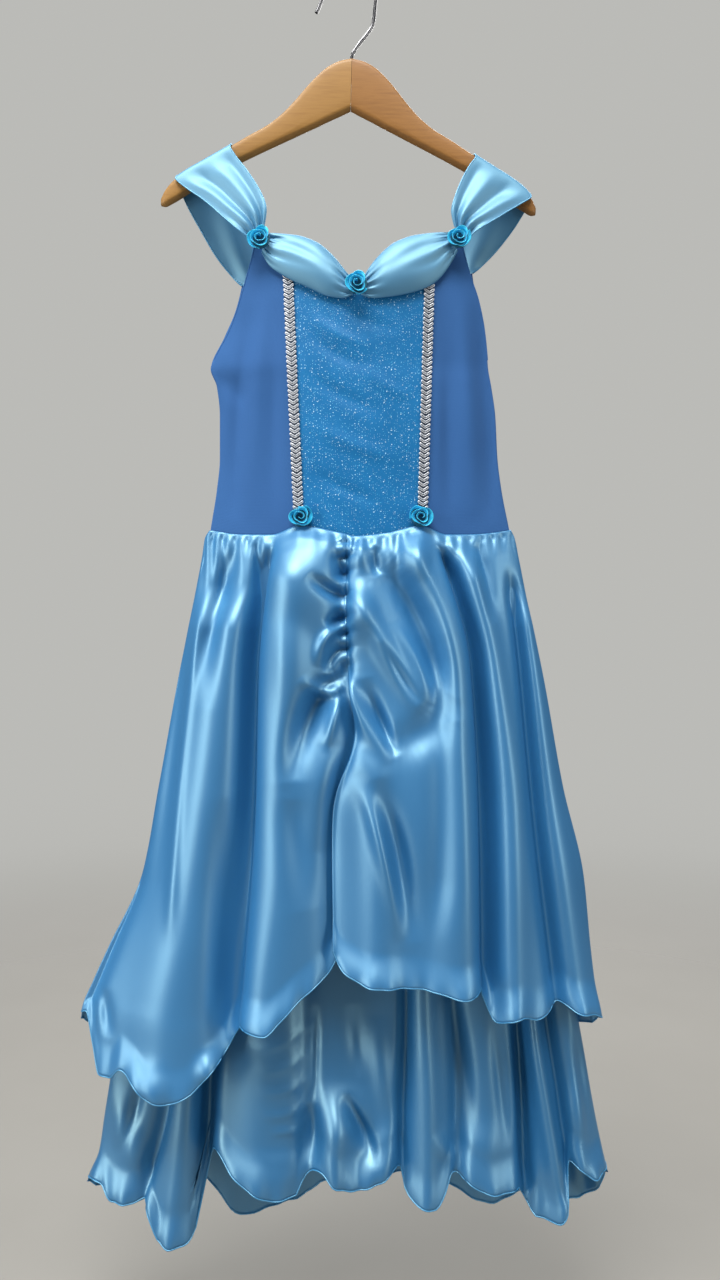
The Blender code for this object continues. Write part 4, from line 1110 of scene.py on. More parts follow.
# %% Skirt panels
def overskirt_front(side, u, v):
    """A front panel of the overskirt: the left one's u runs from its side seam to the middle."""
    hem = OVER_HEM_LEFT if side < 0 else OVER_HEM_RIGHT

    def span(fall):
        share = seam_share(fall)
        tuck = SEAM_TUCK_SHARE * rise((fall + 555 - RUCHE_END) / 40) * (1 - rise((fall + 555 - 860) / 60))
        return (0 * share, share + tuck) if side < 0 else (share, 0 * share + 1)

    x, base, drop, fall = skirt(OVERSKIRT, hem, "front", u, v, OVER_BELOW, span)
    calm = rise((u if side < 0 else 1 - u) / 0.1)
    above_hem = level(hem, x) - drop
    outwards, sideways = folded(OVER_FOLDS, OVER_HEIGHTS, x, drop)
    outwards = outwards * rise(fall / 26) + gathered(x, fall) + TOP_OVER * (1 - rise(fall / 7))
    outwards += ruched(x - centre_seam(drop), drop) * rise(fall / 12)
    outwards += (piled(DOMES, x, drop) + creased(OVER_CREASES, x, drop)) * rise(fall / 14)
    outwards += hem_kick(x, above_hem) + hem_wave(x, above_hem, 21, 1.2)
    lap = np.exp(-(((x - centre_seam(drop)) / 10) ** 2)) * rise((drop - RUCHE_END) / 40)
    outwards += (6 if side > 0 else -2) * lap
    sideways = sideways - 3 * lap * (side > 0)
    under = base_depth(UNDERSKIRT, "front", x, fall) + LAYER_CLEAR
    return x + sideways * calm, -held_out(base + outwards * calm, base, under), -drop


def overskirt_back(u, v):
    x, base, drop, fall = skirt(OVERSKIRT, OVER_HEM_BACK, "back", u, v, OVER_BELOW)
    height = BACK_FLUTE_TOP + (BACK_FLUTE_HEM - BACK_FLUTE_TOP) * fall / 500
    flutes = height * np.cos(2 * pi * BACK_FLUTES * (u + 0.012 * np.sin(9 * u))) * rise(fall / 60)
    flutes += hem_wave(x, level(OVER_HEM_BACK, x) - drop, 21, 1.2)
    under = base_depth(UNDERSKIRT, "back", x, fall) + LAYER_CLEAR
    return x, held_out(base + (flutes + gathered(x, fall)) * near_edges(u), base, under), -drop


def underskirt_front(u, v):
    x, base, drop, fall = skirt(UNDERSKIRT, UNDER_HEM_FRONT, "front", u, v, UNDER_BELOW)
    above_hem = level(UNDER_HEM_FRONT, x) - drop
    outwards, sideways = folded(UNDER_FOLDS, UNDER_HEIGHTS, x, drop)
    outwards += piled(UNDER_DOMES, x, drop) + creased(UNDER_CREASES, x, drop)
    outwards += hem_kick(x, above_hem) + hem_wave(x, above_hem, 18, 1.3)
    calm = near_edges(u)
    return x + sideways * calm, -held_out(base + outwards * calm, base, LAYER_CLEAR), -drop


def underskirt_back(u, v):
    x, base, drop, fall = skirt(UNDERSKIRT, UNDER_HEM_BACK, "back", u, v, UNDER_BELOW)
    height = BACK_FLUTE_HEM * rise((fall - 470) / 160)
    flutes = height * np.cos(2 * pi * (BACK_FLUTES - 2) * (u + 0.015 * np.sin(7 * u)))
    flutes += hem_wave(x, level(UNDER_HEM_BACK, x) - drop, 18, 1.3)
    return x, held_out(base + flutes * near_edges(u), base, LAYER_CLEAR), -drop


print("The skirt has five panels")

# %% [markdown]
# A rolled hem, a bound edge and a cord are all the same thing: a thin round tube along a line.
# This maker turns any row of points into one, and can join many tubes into one mesh.

# %% Tube maker
def tube(points, radius, sides=8):
    """Vertices and faces of a round tube along a line of points, in metres."""
    points = np.asarray(points, float)
    along = np.gradient(points, axis=0)
    along /= np.linalg.norm(along, axis=1)[:, None]
    guide = np.where(np.abs(along[:, 1:2]) < 0.8, (0.0, 1.0, 0.0), (0.0, 0.0, 1.0))
    first = np.cross(along, guide)
    first /= np.linalg.norm(first, axis=1)[:, None]
    second = np.cross(along, first)
    turns = np.arange(sides) * 2 * pi / sides
    ring = np.cos(turns)[None, :, None] * first[:, None] + np.sin(turns)[None, :, None] * second[:, None]
    radii = np.broadcast_to(radius, (len(points),))[:, None, None]
    vertices = (points[:, None] + ring * radii).reshape(-1, 3)
    start = (np.arange(len(points) - 1)[:, None] * sides + np.arange(sides)).ravel()
    after = (np.arange(len(points) - 1)[:, None] * sides + (np.arange(sides) + 1) % sides).ravel()
    faces = np.stack([start, after, after + sides, start + sides], axis=1)
    return vertices, faces


def tubes_mesh(name, lines, radius, sides=8):
    every, quads, count = [], [], 0
    for line in lines:
        vertices, faces = tube(line, radius, sides)
        every.append(vertices)
        quads.append(faces + count)
        count += len(vertices)
    mesh = bpy.data.meshes.new(name)
    mesh.from_pydata(np.concatenate(every).tolist(), [], np.concatenate(quads).tolist())
    mesh.shade_smooth()
    return mesh


print("A tube of 8 sides has", len(tube([(0, 0, 0), (0, 0, 1)], 0.1)[1]), "faces a ring")

# %% [markdown]
# ## Making a cloth piece
#
# Every panel is a fine grid of quads from its function. The distance along the cloth gives its UV
# map in metres, so that a thread is as wide on one panel as on the next. A Solidify modifier gives
# it two faces, half a millimetre apart. Then the piece is tied to the body, and the node that it
# stands for is hidden.

# %% Cloth maker
SHELL = 0.5
panels = {}


def lay_uv(mesh, grid):
    """Distances along the cloth, from its middle column and its top row."""
    across = np.linalg.norm(np.diff(grid, axis=1), axis=2)
    down = np.linalg.norm(np.diff(grid, axis=0), axis=2)
    u = np.concatenate([np.zeros((grid.shape[0], 1)), np.cumsum(across, axis=1)], axis=1)
    u -= u[:, u.shape[1] // 2, None]
    v = np.concatenate([np.zeros((1, grid.shape[1])), np.cumsum(down, axis=0)], axis=0)
    flat = np.stack([u, v], axis=2).reshape(-1, 2)
    corners = np.empty(len(mesh.loops), int)
    mesh.loops.foreach_get("vertex_index", corners)
    mesh.uv_layers.new(name="cloth").data.foreach_set("uv", flat[corners].ravel())


def places(steps):
    """Even places from 0 to 1, or the ones given."""
    return np.linspace(0, 1, steps + 1) if isinstance(steps, int) else steps


def grid_points(surface, columns, rows):
    u, v = np.meshgrid(places(columns), places(rows))
    x, y, z = (np.broadcast_to(axis, (u.size,)) for axis in surface(u.ravel(), v.ravel()))
    return np.stack([x, y, z], axis=1).reshape(*u.shape, 3) * MM


def grid_mesh(name, grid, flip=False):
    rows, columns = grid.shape[:2]
    corner = (np.arange(rows - 1)[:, None] * columns + np.arange(columns - 1)).ravel()
    quads = np.stack([corner, corner + 1, corner + columns + 1, corner + columns], axis=1)
    mesh = bpy.data.meshes.new(name)
    mesh.from_pydata(grid.reshape(-1, 3).tolist(), [], (quads[:, ::-1] if flip else quads).tolist())
    mesh.shade_smooth()
    lay_uv(mesh, grid)
    return mesh


def add_piece(name, mesh, finish, slot, *nodes):
    """Links a piece to the scene, ties it to the body, and hides the nodes that it stands for."""
    piece = bpy.data.objects.new(name, mesh)
    bpy.context.scene.collection.objects.link(piece)
    mesh.materials.append(finish)
    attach(piece, "root")
    if nodes:
        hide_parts(*nodes)
    return piece


def roll(name, line, slot):
    """The narrow rolled edge of a satin piece, or the turned edge of a knit one."""
    finish, radius = (knit, 0.7) if slot == "knit" else (satin_edge, 0.7)
    return add_piece(name, tubes_mesh(name, [line], radius * MM), finish, slot)


def cloth(node, surface, columns, rows, finish, slot, cut, thick=SHELL):
    grid = grid_points(surface, columns, rows)
    piece = add_piece(node + "_cloth", grid_mesh(node, grid), finish, slot, node)
    wall = piece.modifiers.new("Cloth wall", "SOLIDIFY")
    wall.thickness = thick * MM
    wall.offset = 0
    panels[node] = grid
    for n, line in enumerate(cut.pop("rolls", ())):
        roll(f"{node}_edge_{n}", grid[line] if isinstance(line, int) else grid[:, line[0]], slot)
    ends = grid[1:] - grid[:-1]
    sides = grid[:, 1:] - grid[:, :-1]
    area = np.linalg.norm(np.cross(ends[:, 1:], sides[1:]), axis=2).sum()
    print(f"{node}: {area:.4f} m2 of cloth from a cut of {cut['flat'][0]} x {cut['flat'][1]} m")
    return piece


print("Panels are", SHELL, "mm thick")

# %% [markdown]
# ## The skirts
#
# Five panels make the skirts. The overskirt's front is two panels that meet in the drawn-up seam,
# and its left hem hangs lower than its right. Each hem has a narrow rolled edge, which catches the
# light as a thin pale line.

# %% Overskirt
def spaced(*runs):
    """Places from 0 to 1 in runs of (end, steps), so that the busy part of a panel gets more."""
    places, start = [], 0.0
    for end, steps in runs:
        places.append(np.linspace(start, end, steps, endpoint=False))
        start = end
    return np.append(np.concatenate(places), 1.0)


def round_the_half(steps):
    """Places round half a skirt, between even in angle and even in width."""
    t = np.linspace(0, 1, steps + 1)
    return 0.4 * t + 0.6 * (0.5 + np.arcsin(2 * t - 1) / pi)


def from_the_side(steps):
    """The same for a panel that ends at the middle."""
    t = np.linspace(0, 1, steps + 1)
    return 0.4 * t + 0.6 * (1 + 2 * np.arcsin(t - 1) / pi)


down_the_skirt = spaced((0.42, 120), (1.0, 100))
cut = dict(flat=(0.32, 0.52), area=0.135, held="gathered", rests_on=["bodice_front_left"], rolls=[-1])
cloth("overskirt_front_left", lambda u, v: overskirt_front(-1, u, v), from_the_side(150), down_the_skirt,
      satin, "satin", cut)
cut = dict(flat=(0.36, 0.47), area=0.145, held="gathered", rests_on=["bodice_front_right"], rolls=[-1])
cloth("overskirt_front_right", lambda u, v: overskirt_front(1, u, v), 1 - from_the_side(150)[::-1],
      down_the_skirt, satin, "satin", cut)
cut = dict(flat=(0.66, 0.5), area=0.26, held="gathered", rests_on=["bodice_back"], rolls=[-1])
cloth("overskirt_back", overskirt_back, round_the_half(170), spaced((0.1, 20), (1.0, 70)), satin, "satin", cut)
print("The overskirt has", len(panels), "panels")

# %% Underskirt
cut = dict(flat=(0.58, 0.64), area=0.31, held="gathered", rests_on=["bodice_front_left", "bodice_front_right"], rolls=[-1])
cloth("underskirt_front", underskirt_front, round_the_half(190), spaced((0.6, 50), (1.0, 90)), satin_inner,
      "satin", cut)
cut = dict(flat=(0.58, 0.65), area=0.3, held="gathered", rests_on=["bodice_back"], rolls=[-1])
cloth("underskirt_back", underskirt_back, round_the_half(130), spaced((0.6, 40), (1.0, 60)), satin_inner,
      "satin", cut)
print("Both skirts have", len(panels), "panels")

# %% [markdown]
# ## The bodice
#
# The two knit sides and the back follow the flat chest of the hung dress. The glitter panel lies
# between the princess seams and has the fine slanting drag lines of thin cloth sewn to stretch
# cloth. The armholes get a thin turned edge.

# %% Bodice functions
BODICE_CREASES = (
    Crease(-44, 342, -12, 366, 24, 376, 6, 1.5),
    Crease(-46, 358, -14, 384, 20, 396, 6, -1.4),
    Crease(-46, 396, -8, 424, 34, 440, 7, -1.5),
    Crease(-20, 330, 14, 352, 48, 360, 6, -1.2),
    Crease(-42, 446, 0, 470, 46, 482, 7, 1.4),
    Crease(-42, 492, -6, 512, 30, 526, 6, -1.3),
    Crease(8, 396, 36, 416, 60, 424, 6, 1.3),
    Crease(-82, 320, -92, 420, -96, 545, 10, 3.2),
    Crease(-96, 330, -110, 440, -112, 545, 8, -3),
    Crease(-128, 380, -118, 410, -98, 425, 9, -2.2),
    Crease(-70, 380, -74, 460, -72, 545, 8, -2),
    Crease(104, 310, 112, 420, 116, 548, 10, 3.4),
    Crease(118, 330, 130, 440, 134, 545, 8, -3),
    Crease(88, 380, 92, 460, 94, 545, 8, -2.4),
)


def bodice_depth(x, drop, side):
    """How far the bodice stands from the dress's middle plane."""
    left, right = (read(BODICE, drop, name) for name in ("left", "right"))
    across = (x - (left + right) / 2) / ((right - left) / 2)
    swell = read(BODICE, drop, side) * np.maximum(1 - across**2, 0) ** 0.95
    return read(BODICE, drop, "edge") + swell


def princess_seam(drop, name):
    return read(PRINCESS_SEAMS, drop, name)


def drag(x, drop):
    """The drag lines, which fade out towards the braids and the waist seam."""
    clear = rise(np.abs(x - princess_seam(drop, "left")) / 14 - 0.5)
    clear *= rise(np.abs(x - princess_seam(drop, "right")) / 14 - 0.5)
    return creased(BODICE_CREASES, x, drop) * clear * rise((548 - drop) / 20)


def bodice_side(side, u, v):
    """A knit side panel, from its side seam and armhole to the princess seam, up to its point."""
    drop = 550 + v * (270 - 550)
    name = "left" if side < 0 else "right"
    for _ in range(4):
        outer = read(BODICE, drop, name)
        inner = princess_seam(drop, name) + side * SEAM_GAP / 2
        neck_levels = NECKLINE[:3] if side < 0 else NECKLINE[:-4:-1]
        neck = smooth(drop, column(neck_levels, "drop"), column(neck_levels, "x"))
        above = drop < neck_levels[-1].drop
        pointed = np.where(side < 0, np.minimum(neck, inner), np.maximum(neck, inner))
        inner = np.where(above, pointed, inner)
        x = outer + (inner - outer) * u
        bottom = level(WAIST, x) - SEAM_GAP
        drop = bottom + v * (270 - bottom)
    return x, -bodice_depth(x, drop, "front") - drag(x, drop) * near_edges(u), -drop


def bodice_centre(u, v):
    """The glitter panel between the princess seams."""
    drop = 550 - 250 * v
    for _ in range(4):
        left = princess_seam(drop, "left") + SEAM_GAP / 2
        right = princess_seam(drop, "right") - SEAM_GAP / 2
        x = left + (right - left) * u
        bottom = level(WAIST, x) - SEAM_GAP
        drop = bottom + v * (level(NECKLINE, x) - bottom)
    return x, -bodice_depth(x, drop, "front") - drag(x, drop), -drop


def back_depth(x, drop):
    left, right = (read(BACK_EDGE, drop, name) for name in ("left", "right"))
    across = np.clip((x - (left + right) / 2) / ((right - left) / 2), -1, 1)
    return read(BODICE, drop, "edge") + read(BODICE, drop, "back") * (1 - across**2) ** 0.95


def bodice_back(u, v):
    drop = 550 - 240 * v
    for _ in range(4):
        left, right = (read(BACK_EDGE, drop, name) for name in ("left", "right"))
        x = left + (right - left) * u
        bottom = level(WAIST_BACK, x) - SEAM_GAP
        drop = bottom + v * (level(BACK_NECKLINE, x) - bottom)
    return x, back_depth(x, drop), -drop


print(len(BODICE_CREASES), "drag lines on the bodice")

# %% Bodice pieces
for side, name in ((-1, "left"), (1, "right")):
    cut = dict(flat=(0.085, 0.29), area=0.0195, held="stretched", rests_on=[f"strap_{name}"])
    cloth(f"bodice_front_{name}", lambda u, v: bodice_side(side, u, v), 60, 110, knit, "knit", cut)
    roll(f"armhole_edge_{name}", panels[f"bodice_front_{name}"][66:, 0], "knit")
cut = dict(flat=(0.135, 0.28), area=0.033, held="stretched", rests_on=["bodice_front_left", "bodice_front_right"])
cloth("bodice_front_centre", bodice_centre, 70, 100, glitter, "glitter_panel", cut)
cut = dict(flat=(0.28, 0.25), area=0.064, held="stretched", rests_on=["strap_left", "strap_right"], rolls=[-1])
cloth("bodice_back", bodice_back, 90, 80, knit, "knit", cut)
print("The bodice has four panels")

# %% [markdown]
# ## The gimp braids
#
# Gimp is a flat plait of thick cord: two rows of loops that point down to the middle, like a
# fishbone. Each loop is one short tube, and a narrow tape under the loops closes the gaps. The
# tape is near black, painted shade for the gaps between the loops.

# %% Braids
BRAID_TOP, BRAID_END, BRAID_HALF, LOOP_PITCH, LOOP_CORD = 297.0, 532.0, 5.3, 4.6, 0.55
LoopPoint = namedtuple("LoopPoint", "out along lift")
LOOP = (
    LoopPoint(0.2, 0.9, 0.5),
    LoopPoint(1.6, 0.1, 1.0),
    LoopPoint(3.2, -1.0, 1.2),
    LoopPoint(4.4, -1.7, 1.0),
    LoopPoint(4.7, -0.9, 0.7),
    LoopPoint(3.9, 0.2, 0.6),
    LoopPoint(2.4, 1.2, 0.5),
    LoopPoint(0.9, 2.1, 0.3),
    LoopPoint(0.1, 2.5, 0.1),
)


def braid_line(name, across, drop, lift):
    """A point on the braid, across millimetres from its middle and lift above the bodice's knit."""
    x = princess_seam(drop, name) + across
    return np.stack([x, -(bodice_depth(x, drop, "front") + 0.9 + lift), -drop], axis=-1) * MM


def braid_tape(name, u, v):
    drop = BRAID_END + (BRAID_TOP - BRAID_END) * v
    points = braid_line(name, BRAID_HALF * 0.86 * (2 * u - 1), drop, 0.15) / MM
    return points[:, 0], points[:, 1], points[:, 2]


for name in ("left", "right"):
    cut = dict(flat=(0.0106, 0.235), held="laid", rests_on=[f"bodice_front_{name}"])
    cloth(f"braid_{name}", lambda u, v: braid_tape(name, u, v), 4, 90, gap_shade_tape, "silver_braid", cut, 0.4)
    loops = []
    for n in range(int((BRAID_END - BRAID_TOP) / LOOP_PITCH)):
        for hand in (-1, 1):
            out = hand * (column(LOOP, "out") + 0.12 * sin(5.1 * n + hand))
            drop = BRAID_TOP + 2.2 + n * LOOP_PITCH + column(LOOP, "along") + 0.15 * sin(3.7 * n)
            steps = np.linspace(0, len(LOOP) - 1, 15)
            stations = np.arange(len(LOOP))
            out, drop, lift = (smooth(steps, stations, part) for part in (out, drop, column(LOOP, "lift")))
            loops.append(braid_line(name, out, drop, lift))
    add_piece(f"braid_loops_{name}", tubes_mesh(f"braid_loops_{name}", loops, LOOP_CORD * MM, 6), silver,
              "silver_braid")
print("Each braid has", len(loops), "loops")

# %% [markdown]
# ## Swags and straps
#
# A swag of satin crosses each half of the neckline. It is gathered under a rose at both ends, so
# its pleats run together there and open out between. The straps are wide bands that come up from
# the shoulder roses, go over the hanger and come down at the back, where they join the back bodice.

# %% Swags
def swag(side, u, v):
    """u runs from the shoulder rose to the middle, v from the upper edge to the lower one."""
    rows = SWAG_LEFT if side < 0 else SWAG_RIGHT
    stations = np.arange(len(rows), dtype=float)
    at = u * (len(rows) - 1)
    upper_x, upper_drop, lower_x, lower_drop, puff = (
        smooth(at, stations, column(rows, name)) for name in SwagRow._fields
    )
    x = upper_x + (lower_x - upper_x) * v
    drop = upper_drop + (lower_drop - upper_drop) * v
    ends = np.maximum(1 - rise(u / 0.36), 1 - rise((1 - u) / 0.36))
    turns = SWAG_PLEATS * v + 0.25 * np.sin(5 * u + 2 * side)
    pleats = 1.1 * ends * np.cos(2 * pi * turns)
    pleats += 0.4 * ends**2 * np.cos(2 * pi * (2.3 * SWAG_PLEATS * v + 1.4 * u + 0.2 * side))
    slack = 2.4 * np.exp(-(((v - 0.22 - 0.3 * u) / 0.12) ** 2)) * rise((0.75 - u) / 0.4)
    slack += 1.8 * np.exp(-(((v - 0.72 + 0.2 * u) / 0.1) ** 2)) * rise((0.62 - u) / 0.4)
    slack += 1.6 * np.exp(-(((v - 0.42 + 0.1 * u) / 0.09) ** 2)) * rise((u - 0.55) / 0.3)
    body = puff * np.sin(pi * np.clip(v, 0.001, 0.999)) ** 0.7
    clear = CLOTH + SEAM_GAP + 1.7
    return x, -(bodice_depth(x, drop, "front") + clear + body + pleats - slack), -drop


for side, name in ((-1, "left"), (1, "right")):
    cut = dict(flat=(0.13, 0.05), area=0.0058, held="gathered", rests_on=[f"rosette_neck_{name}", "rosette_neck_centre"])
    cloth(f"swag_{name}", lambda u, v: swag(side, u, v), 110, 64, satin_pale, "satin", cut)
print("Two swags")

# %% Straps
def arm_top(x):
    """The tilted hanger's top edge, as the drop at x."""
    along = x
    for _ in range(4):
        top = smooth(np.abs(along), column(ARM, "out"), column(ARM, "top")) - ARM[0].top
        along = (x + top * sin(HANGER_TILT)) / cos(HANGER_TILT)
    return ARM[0].top + along * sin(HANGER_TILT) + top * cos(HANGER_TILT)


def strap(side, u, v):
    """u runs across from the armhole edge to the neck edge, v from the rose over the hanger to the back."""
    front = STRAP_LEFT_FRONT if side < 0 else STRAP_RIGHT_FRONT
    back = STRAP_LEFT_BACK if side < 0 else STRAP_RIGHT_BACK
    outer, inner = STRAP_TOP_LEFT if side < 0 else STRAP_TOP_RIGHT
    stations = []

    def across(row):
        x = row.outer_x + (row.inner_x - row.outer_x) * u
        stations.append((x, row.out + 0 * u, row.outer_drop + (row.inner_drop - row.outer_drop) * u))

    for row in front:
        across(row)
    top_x = outer + (inner - outer) * u
    radius = HANGER_THICK / 2 + STRAP_CLEAR
    for angle in np.linspace(-80, 80, STRAP_ARC):
        turn = radians(angle)
        stations.append((top_x, radius * sin(turn) + 0 * u, arm_top(top_x) + radius * (1 - cos(turn)) - STRAP_CLEAR))
    for row in back[:-1]:
        across(row)
    end_x = back[-1].outer_x + (back[-1].inner_x - back[-1].outer_x) * u
    edge = level(BACK_NECKLINE, end_x)
    stations.append((end_x, back_depth(end_x, edge), edge - 2 * SEAM_GAP))
    grid = np.array(stations)
    at = v * (len(grid) - 1)
    i = np.clip(at.astype(int), 0, len(grid) - 2)
    t = at - i
    points = np.arange(len(u))
    before, here, there, after = (
        grid[np.clip(i + step, 0, len(grid) - 1), :, points].T for step in (-1, 0, 1, 2)
    )
    x, y, drop = (
        (2 * t**3 - 3 * t**2 + 1) * here + (t**3 - 2 * t**2 + t) * (there - before) / 2
        + (3 * t**2 - 2 * t**3) * there + (t**3 - t**2) * (after - here) / 2
    )
    in_front = np.clip(1 - at / (len(front) + 0.5), 0, 1)
    near_rose = in_front * rise((in_front - 0.55) / 0.3)
    y -= 1.7 * np.cos(2 * pi * 3.2 * u) * near_rose
    down_back = np.clip((at - len(front) - STRAP_ARC) / len(back), 0, 1)
    y += 1.8 * np.sin(2 * pi * (1.3 * u + 0.5 * down_back + 0.1 * side)) * np.sin(pi * down_back)
    return x, y - strap_folds(side, u, at / len(front)) * rise(in_front * 3), -drop


def strap_folds(side, u, along):
    """Soft folds that fan out from the rose to the hanger."""
    total = 0 * u
    for start, end, wide, out in ((0.3, 0.1, 0.1, 2.4), (0.46, 0.34, 0.09, -2.2), (0.62, 0.62, 0.12, 2.6), (0.8, 0.88, 0.08, -1.8)):
        centre = start + (end - start) * along
        total += out * np.exp(-(((u - centre) / wide) ** 2)) * rise(along / 0.25) * rise((1.15 - along) / 0.5)
    return total


for side, name in ((-1, "left"), (1, "right")):
    cut = dict(flat=(0.06, 0.235), area=0.0125, held="hung", rests_on=[f"hanger_arm_{name}"], rolls=[(0,), (-1,)])
    cloth(f"strap_{name}", lambda u, v: strap(side, u, v), 60, 150, satin_pale, "satin", cut)
print("Two straps")

# %% [markdown]
# ## The ribbon roses
#
# A ribbon rose is one strip of ribbon, wound round and round and stitched through its foot. The
# strip stands on its edge, and its free edge flares outwards in petals that grow with each turn.

# %% Roses
ROSE_TURNS, ROSE_HEIGHT = 2.7, 8.0
Rose = namedtuple("Rose", "name x drop clear turn")
ROSES = (
    Rose("rosette_neck_left", -87.5, 274, 11.2, 20),
    Rose("rosette_neck_centre", 5, 320, 9.2, 75),
    Rose("rosette_neck_right", 101.5, 273, 11.4, 140),
    Rose("rosette_waist_left", -48.5, 538, 3.6, 210),
    Rose("rosette_waist_right", 66, 538, 3.6, 300),
)


def rose_grid(rose):
    """The wound strip's points, with the rose facing the front."""
    t, v = np.meshgrid(np.linspace(0, 1, 221), np.linspace(0, 1, 10))
    angle = 2 * pi * ROSE_TURNS * t + radians(rose.turn)
    grown = 0.12 + 0.88 * t**0.85
    petal = np.abs(np.sin(angle * 1.26 + 0.6 * np.sin(angle * 0.5)))
    flare = v**2 * (0.8 + 3.6 * t) * (0.35 + 0.65 * petal)
    wobble = 1 + 0.13 * t * np.sin(1.9 * angle + rose.turn) + 0.07 * t * np.sin(3.3 * angle)
    reach = ROSETTE_RADIUS * 0.76 * grown * wobble + flare - 0.5 * (1 - petal) * t
    reach = np.minimum(reach, ROSETTE_RADIUS)
    height = ROSE_HEIGHT * (0.16 + v * (0.84 - 0.4 * t**2)) - 1.1 * v**3 * t * petal
    return angle, reach, height


def rose_mesh(rose):
    angle, reach, height = rose_grid(rose)
    drop, x = np.array([float(rose.drop)]), np.array([float(rose.x)])
    depth = float(bodice_depth(x, drop, "front")[0]) + rose.clear
    points = np.stack([rose.x + reach * np.cos(angle), -(depth + height), -rose.drop + reach * np.sin(angle)], axis=2)
    return grid_mesh(rose.name, points * MM), depth


def rose_foot(rose, depth):
    """The closed foot under the strip, seen in the gaps between its turns, in a dark finish that is painted shade for
    those gaps.
    """
    t, angle = np.meshgrid(np.linspace(0, 1, 7), np.linspace(0, 2 * pi, 37))
    reach = ROSETTE_RADIUS * 0.86 * np.sin(t * pi / 2)
    height = 0.12 + ROSE_HEIGHT * 0.34 * (1 - t**3)
    points = np.stack([rose.x + reach * np.cos(angle), -(depth + height), -rose.drop + reach * np.sin(angle)], axis=2)
    return grid_mesh(rose.name + "_foot", points * MM)


for rose in ROSES:
    mesh, depth = rose_mesh(rose)
    strip = add_piece(rose.name + "_ribbon", mesh, ribbon, "ribbon", rose.name)
    wall = strip.modifiers.new("Ribbon wall", "SOLIDIFY")
    wall.thickness = 0.35 * MM
    wall.offset = 0
    add_piece(rose.name + "_foot", rose_foot(rose, depth), ribbon_foot_shade, "ribbon")
print(len(ROSES), "roses")

# %% [markdown]
# ## The hanger
#
# The arms are cut from light wood with rounded edges and meet in a mitre. The hook is plated wire
# that bends over once it leaves the wood, and its tip turns out a little.

# %% Hanger
def arm_mesh(side):
    """One arm, as rounded vertical sections along its length."""
    outs = np.concatenate([np.linspace(SEAM_GAP / 2, 171, 60), np.linspace(173, 181.5, 9)])
    turns = np.linspace(0, 2 * pi, 41)[:-1]
    rings = []
    for out in outs:
        top, bottom, thick = (float(read(ARM, out, name, "out")) for name in ("top", "bottom", "thick"))
        half_y, half_z = thick / 2, (bottom - top) / 2
        corner = min(ARM_CORNER, half_y - 0.4, half_z - 0.4)
        y = np.clip(half_y * 1.6 * np.cos(turns), -(half_y - corner), half_y - corner) + corner * np.cos(turns)
        z = np.clip(half_z * 1.6 * np.sin(turns), -(half_z - corner), half_z - corner) + corner * np.sin(turns)
        rings.append(np.stack([np.full(40, side * out), y, -(top + half_z) - z], axis=1))
    points = np.array(rings)
    up = points[:, :, 2] + ARM[0].top
    across = points[:, :, 0].copy()
    points[:, :, 0] = across * cos(HANGER_TILT) + up * sin(HANGER_TILT)
    points[:, :, 2] = up * cos(HANGER_TILT) - across * sin(HANGER_TILT) - ARM[0].top
    faces = []
    for n in range(len(rings) - 1):
        for k in range(40):
            after = (k + 1) % 40
            faces.append((n * 40 + k, n * 40 + after, (n + 1) * 40 + after, (n + 1) * 40 + k))
    last = (len(rings) - 1) * 40
    faces.append(tuple(range(39, -1, -1)))
    faces.append(tuple(last + k for k in range(40)))
    if side < 0:
        faces = [face[::-1] for face in faces]
    mesh = bpy.data.meshes.new(f"arm_{side}")
    mesh.from_pydata((points.reshape(-1, 3) * MM).tolist(), [], faces)
    mesh.shade_smooth()
    mesh.set_sharp_from_angle(angle=radians(60))
    return mesh


add_piece("hanger_arm_left_wood", arm_mesh(-1), wood_left, "wood_left", "hanger_arm_left")
add_piece("hanger_arm_right_wood", arm_mesh(1), wood_right, "wood_right", "hanger_arm_right")
print("Two arms")

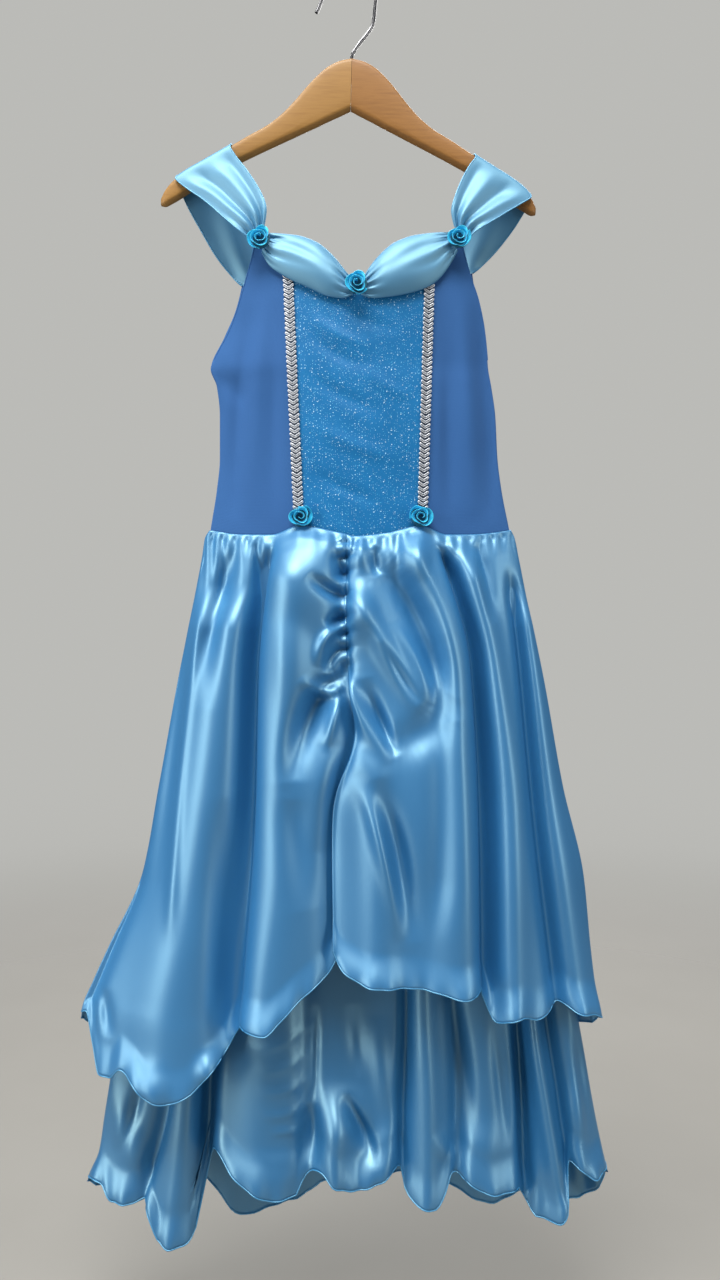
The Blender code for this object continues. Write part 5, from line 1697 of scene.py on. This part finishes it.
# %% Hook
def hook_line():
    """The wire's centre line: the shaft, its bend, the round hook and its turned-out tip."""
    centre_z = -(HOOK_RADIUS - WIRE_RADIUS)
    foot = -ARM[0].top - SHAFT_DEPTH + 1
    shaft = [(0, foot), (0, -ARM[0].top + 2), (3, -82), (8.5, -74), (15, -66), (20.5, -56)]
    turn = [
        (HOOK_CENTRE_X + HOOK_RADIUS * cos(radians(a)), centre_z + HOOK_RADIUS * sin(radians(a)))
        for a in range(-20, 191, 15)
    ]
    corners = np.array(shaft + turn + [(-31, -38), (-34.5, -46)], float)
    line = []
    for n in range(len(corners) - 1):
        before, here, there, after = (corners[min(max(n + k, 0), len(corners) - 1)] for k in (-1, 0, 1, 2))
        for t in np.linspace(0, 1, 6, endpoint=False):
            line.append(0.5 * (2 * here + (there - before) * t + (2 * before - 5 * here + 4 * there - after) * t**2
                               + (3 * here - before - 3 * there + after) * t**3))
    line.append(corners[-1])
    line = np.array(line)
    return np.stack([line[:, 0], 0 * line[:, 0], line[:, 1]], axis=1) * MM


add_piece("hanger_hook_wire", tubes_mesh("hook", [hook_line()], WIRE_RADIUS * MM, 20), wire, "hook_chrome",
          "hanger_hook")
print("One hook")

# %% [markdown]
# ## The floor
#
# A pale floor lies well below the hem. Its colour goes over into the surround's with the distance
# from the dress, so the picture shows no horizon.

# %% Floor
floor_finish = Finish("pale floor")
spot = floor_finish.node("ShaderNodeVectorMath", {"operation": "LENGTH"}, {0: floor_finish.place()}, "Value")
fade = floor_finish.node("ShaderNodeMapRange", {"interpolation_type": "SMOOTHSTEP"},
                         {"Value": spot, "From Min": 0.5, "From Max": 2.6, "To Min": 0.0, "To Max": 1.0})
speck = floor_finish.noise(floor_finish.place(), 6, 3, 0.5)
floor_finish.set(Base_Color=floor_finish.blend(speck, (0.13, 0.126, 0.115), (0.15, 0.146, 0.135)), Roughness=0.85,
                 Emission_Color=(0.15, 0.145, 0.135), Emission_Strength=1.0)
clear_glass = floor_finish.node("ShaderNodeBsdfTransparent")
mixed = floor_finish.node("ShaderNodeMixShader", None,
                          {0: fade, 1: Value(floor_finish, floor_finish.shader.outputs[0]), 2: clear_glass})
floor_finish.tree.links.new(mixed.socket, floor_finish.tree.nodes["Material Output"].inputs["Surface"])
bpy.ops.mesh.primitive_circle_add(vertices=96, radius=3.0, fill_type="NGON", location=(0, 0, -1.32))
floor = bpy.context.object
floor.name = "floor"
floor.data.materials.append(floor_finish.material)
print("The floor is", floor.dimensions.x, "m across")
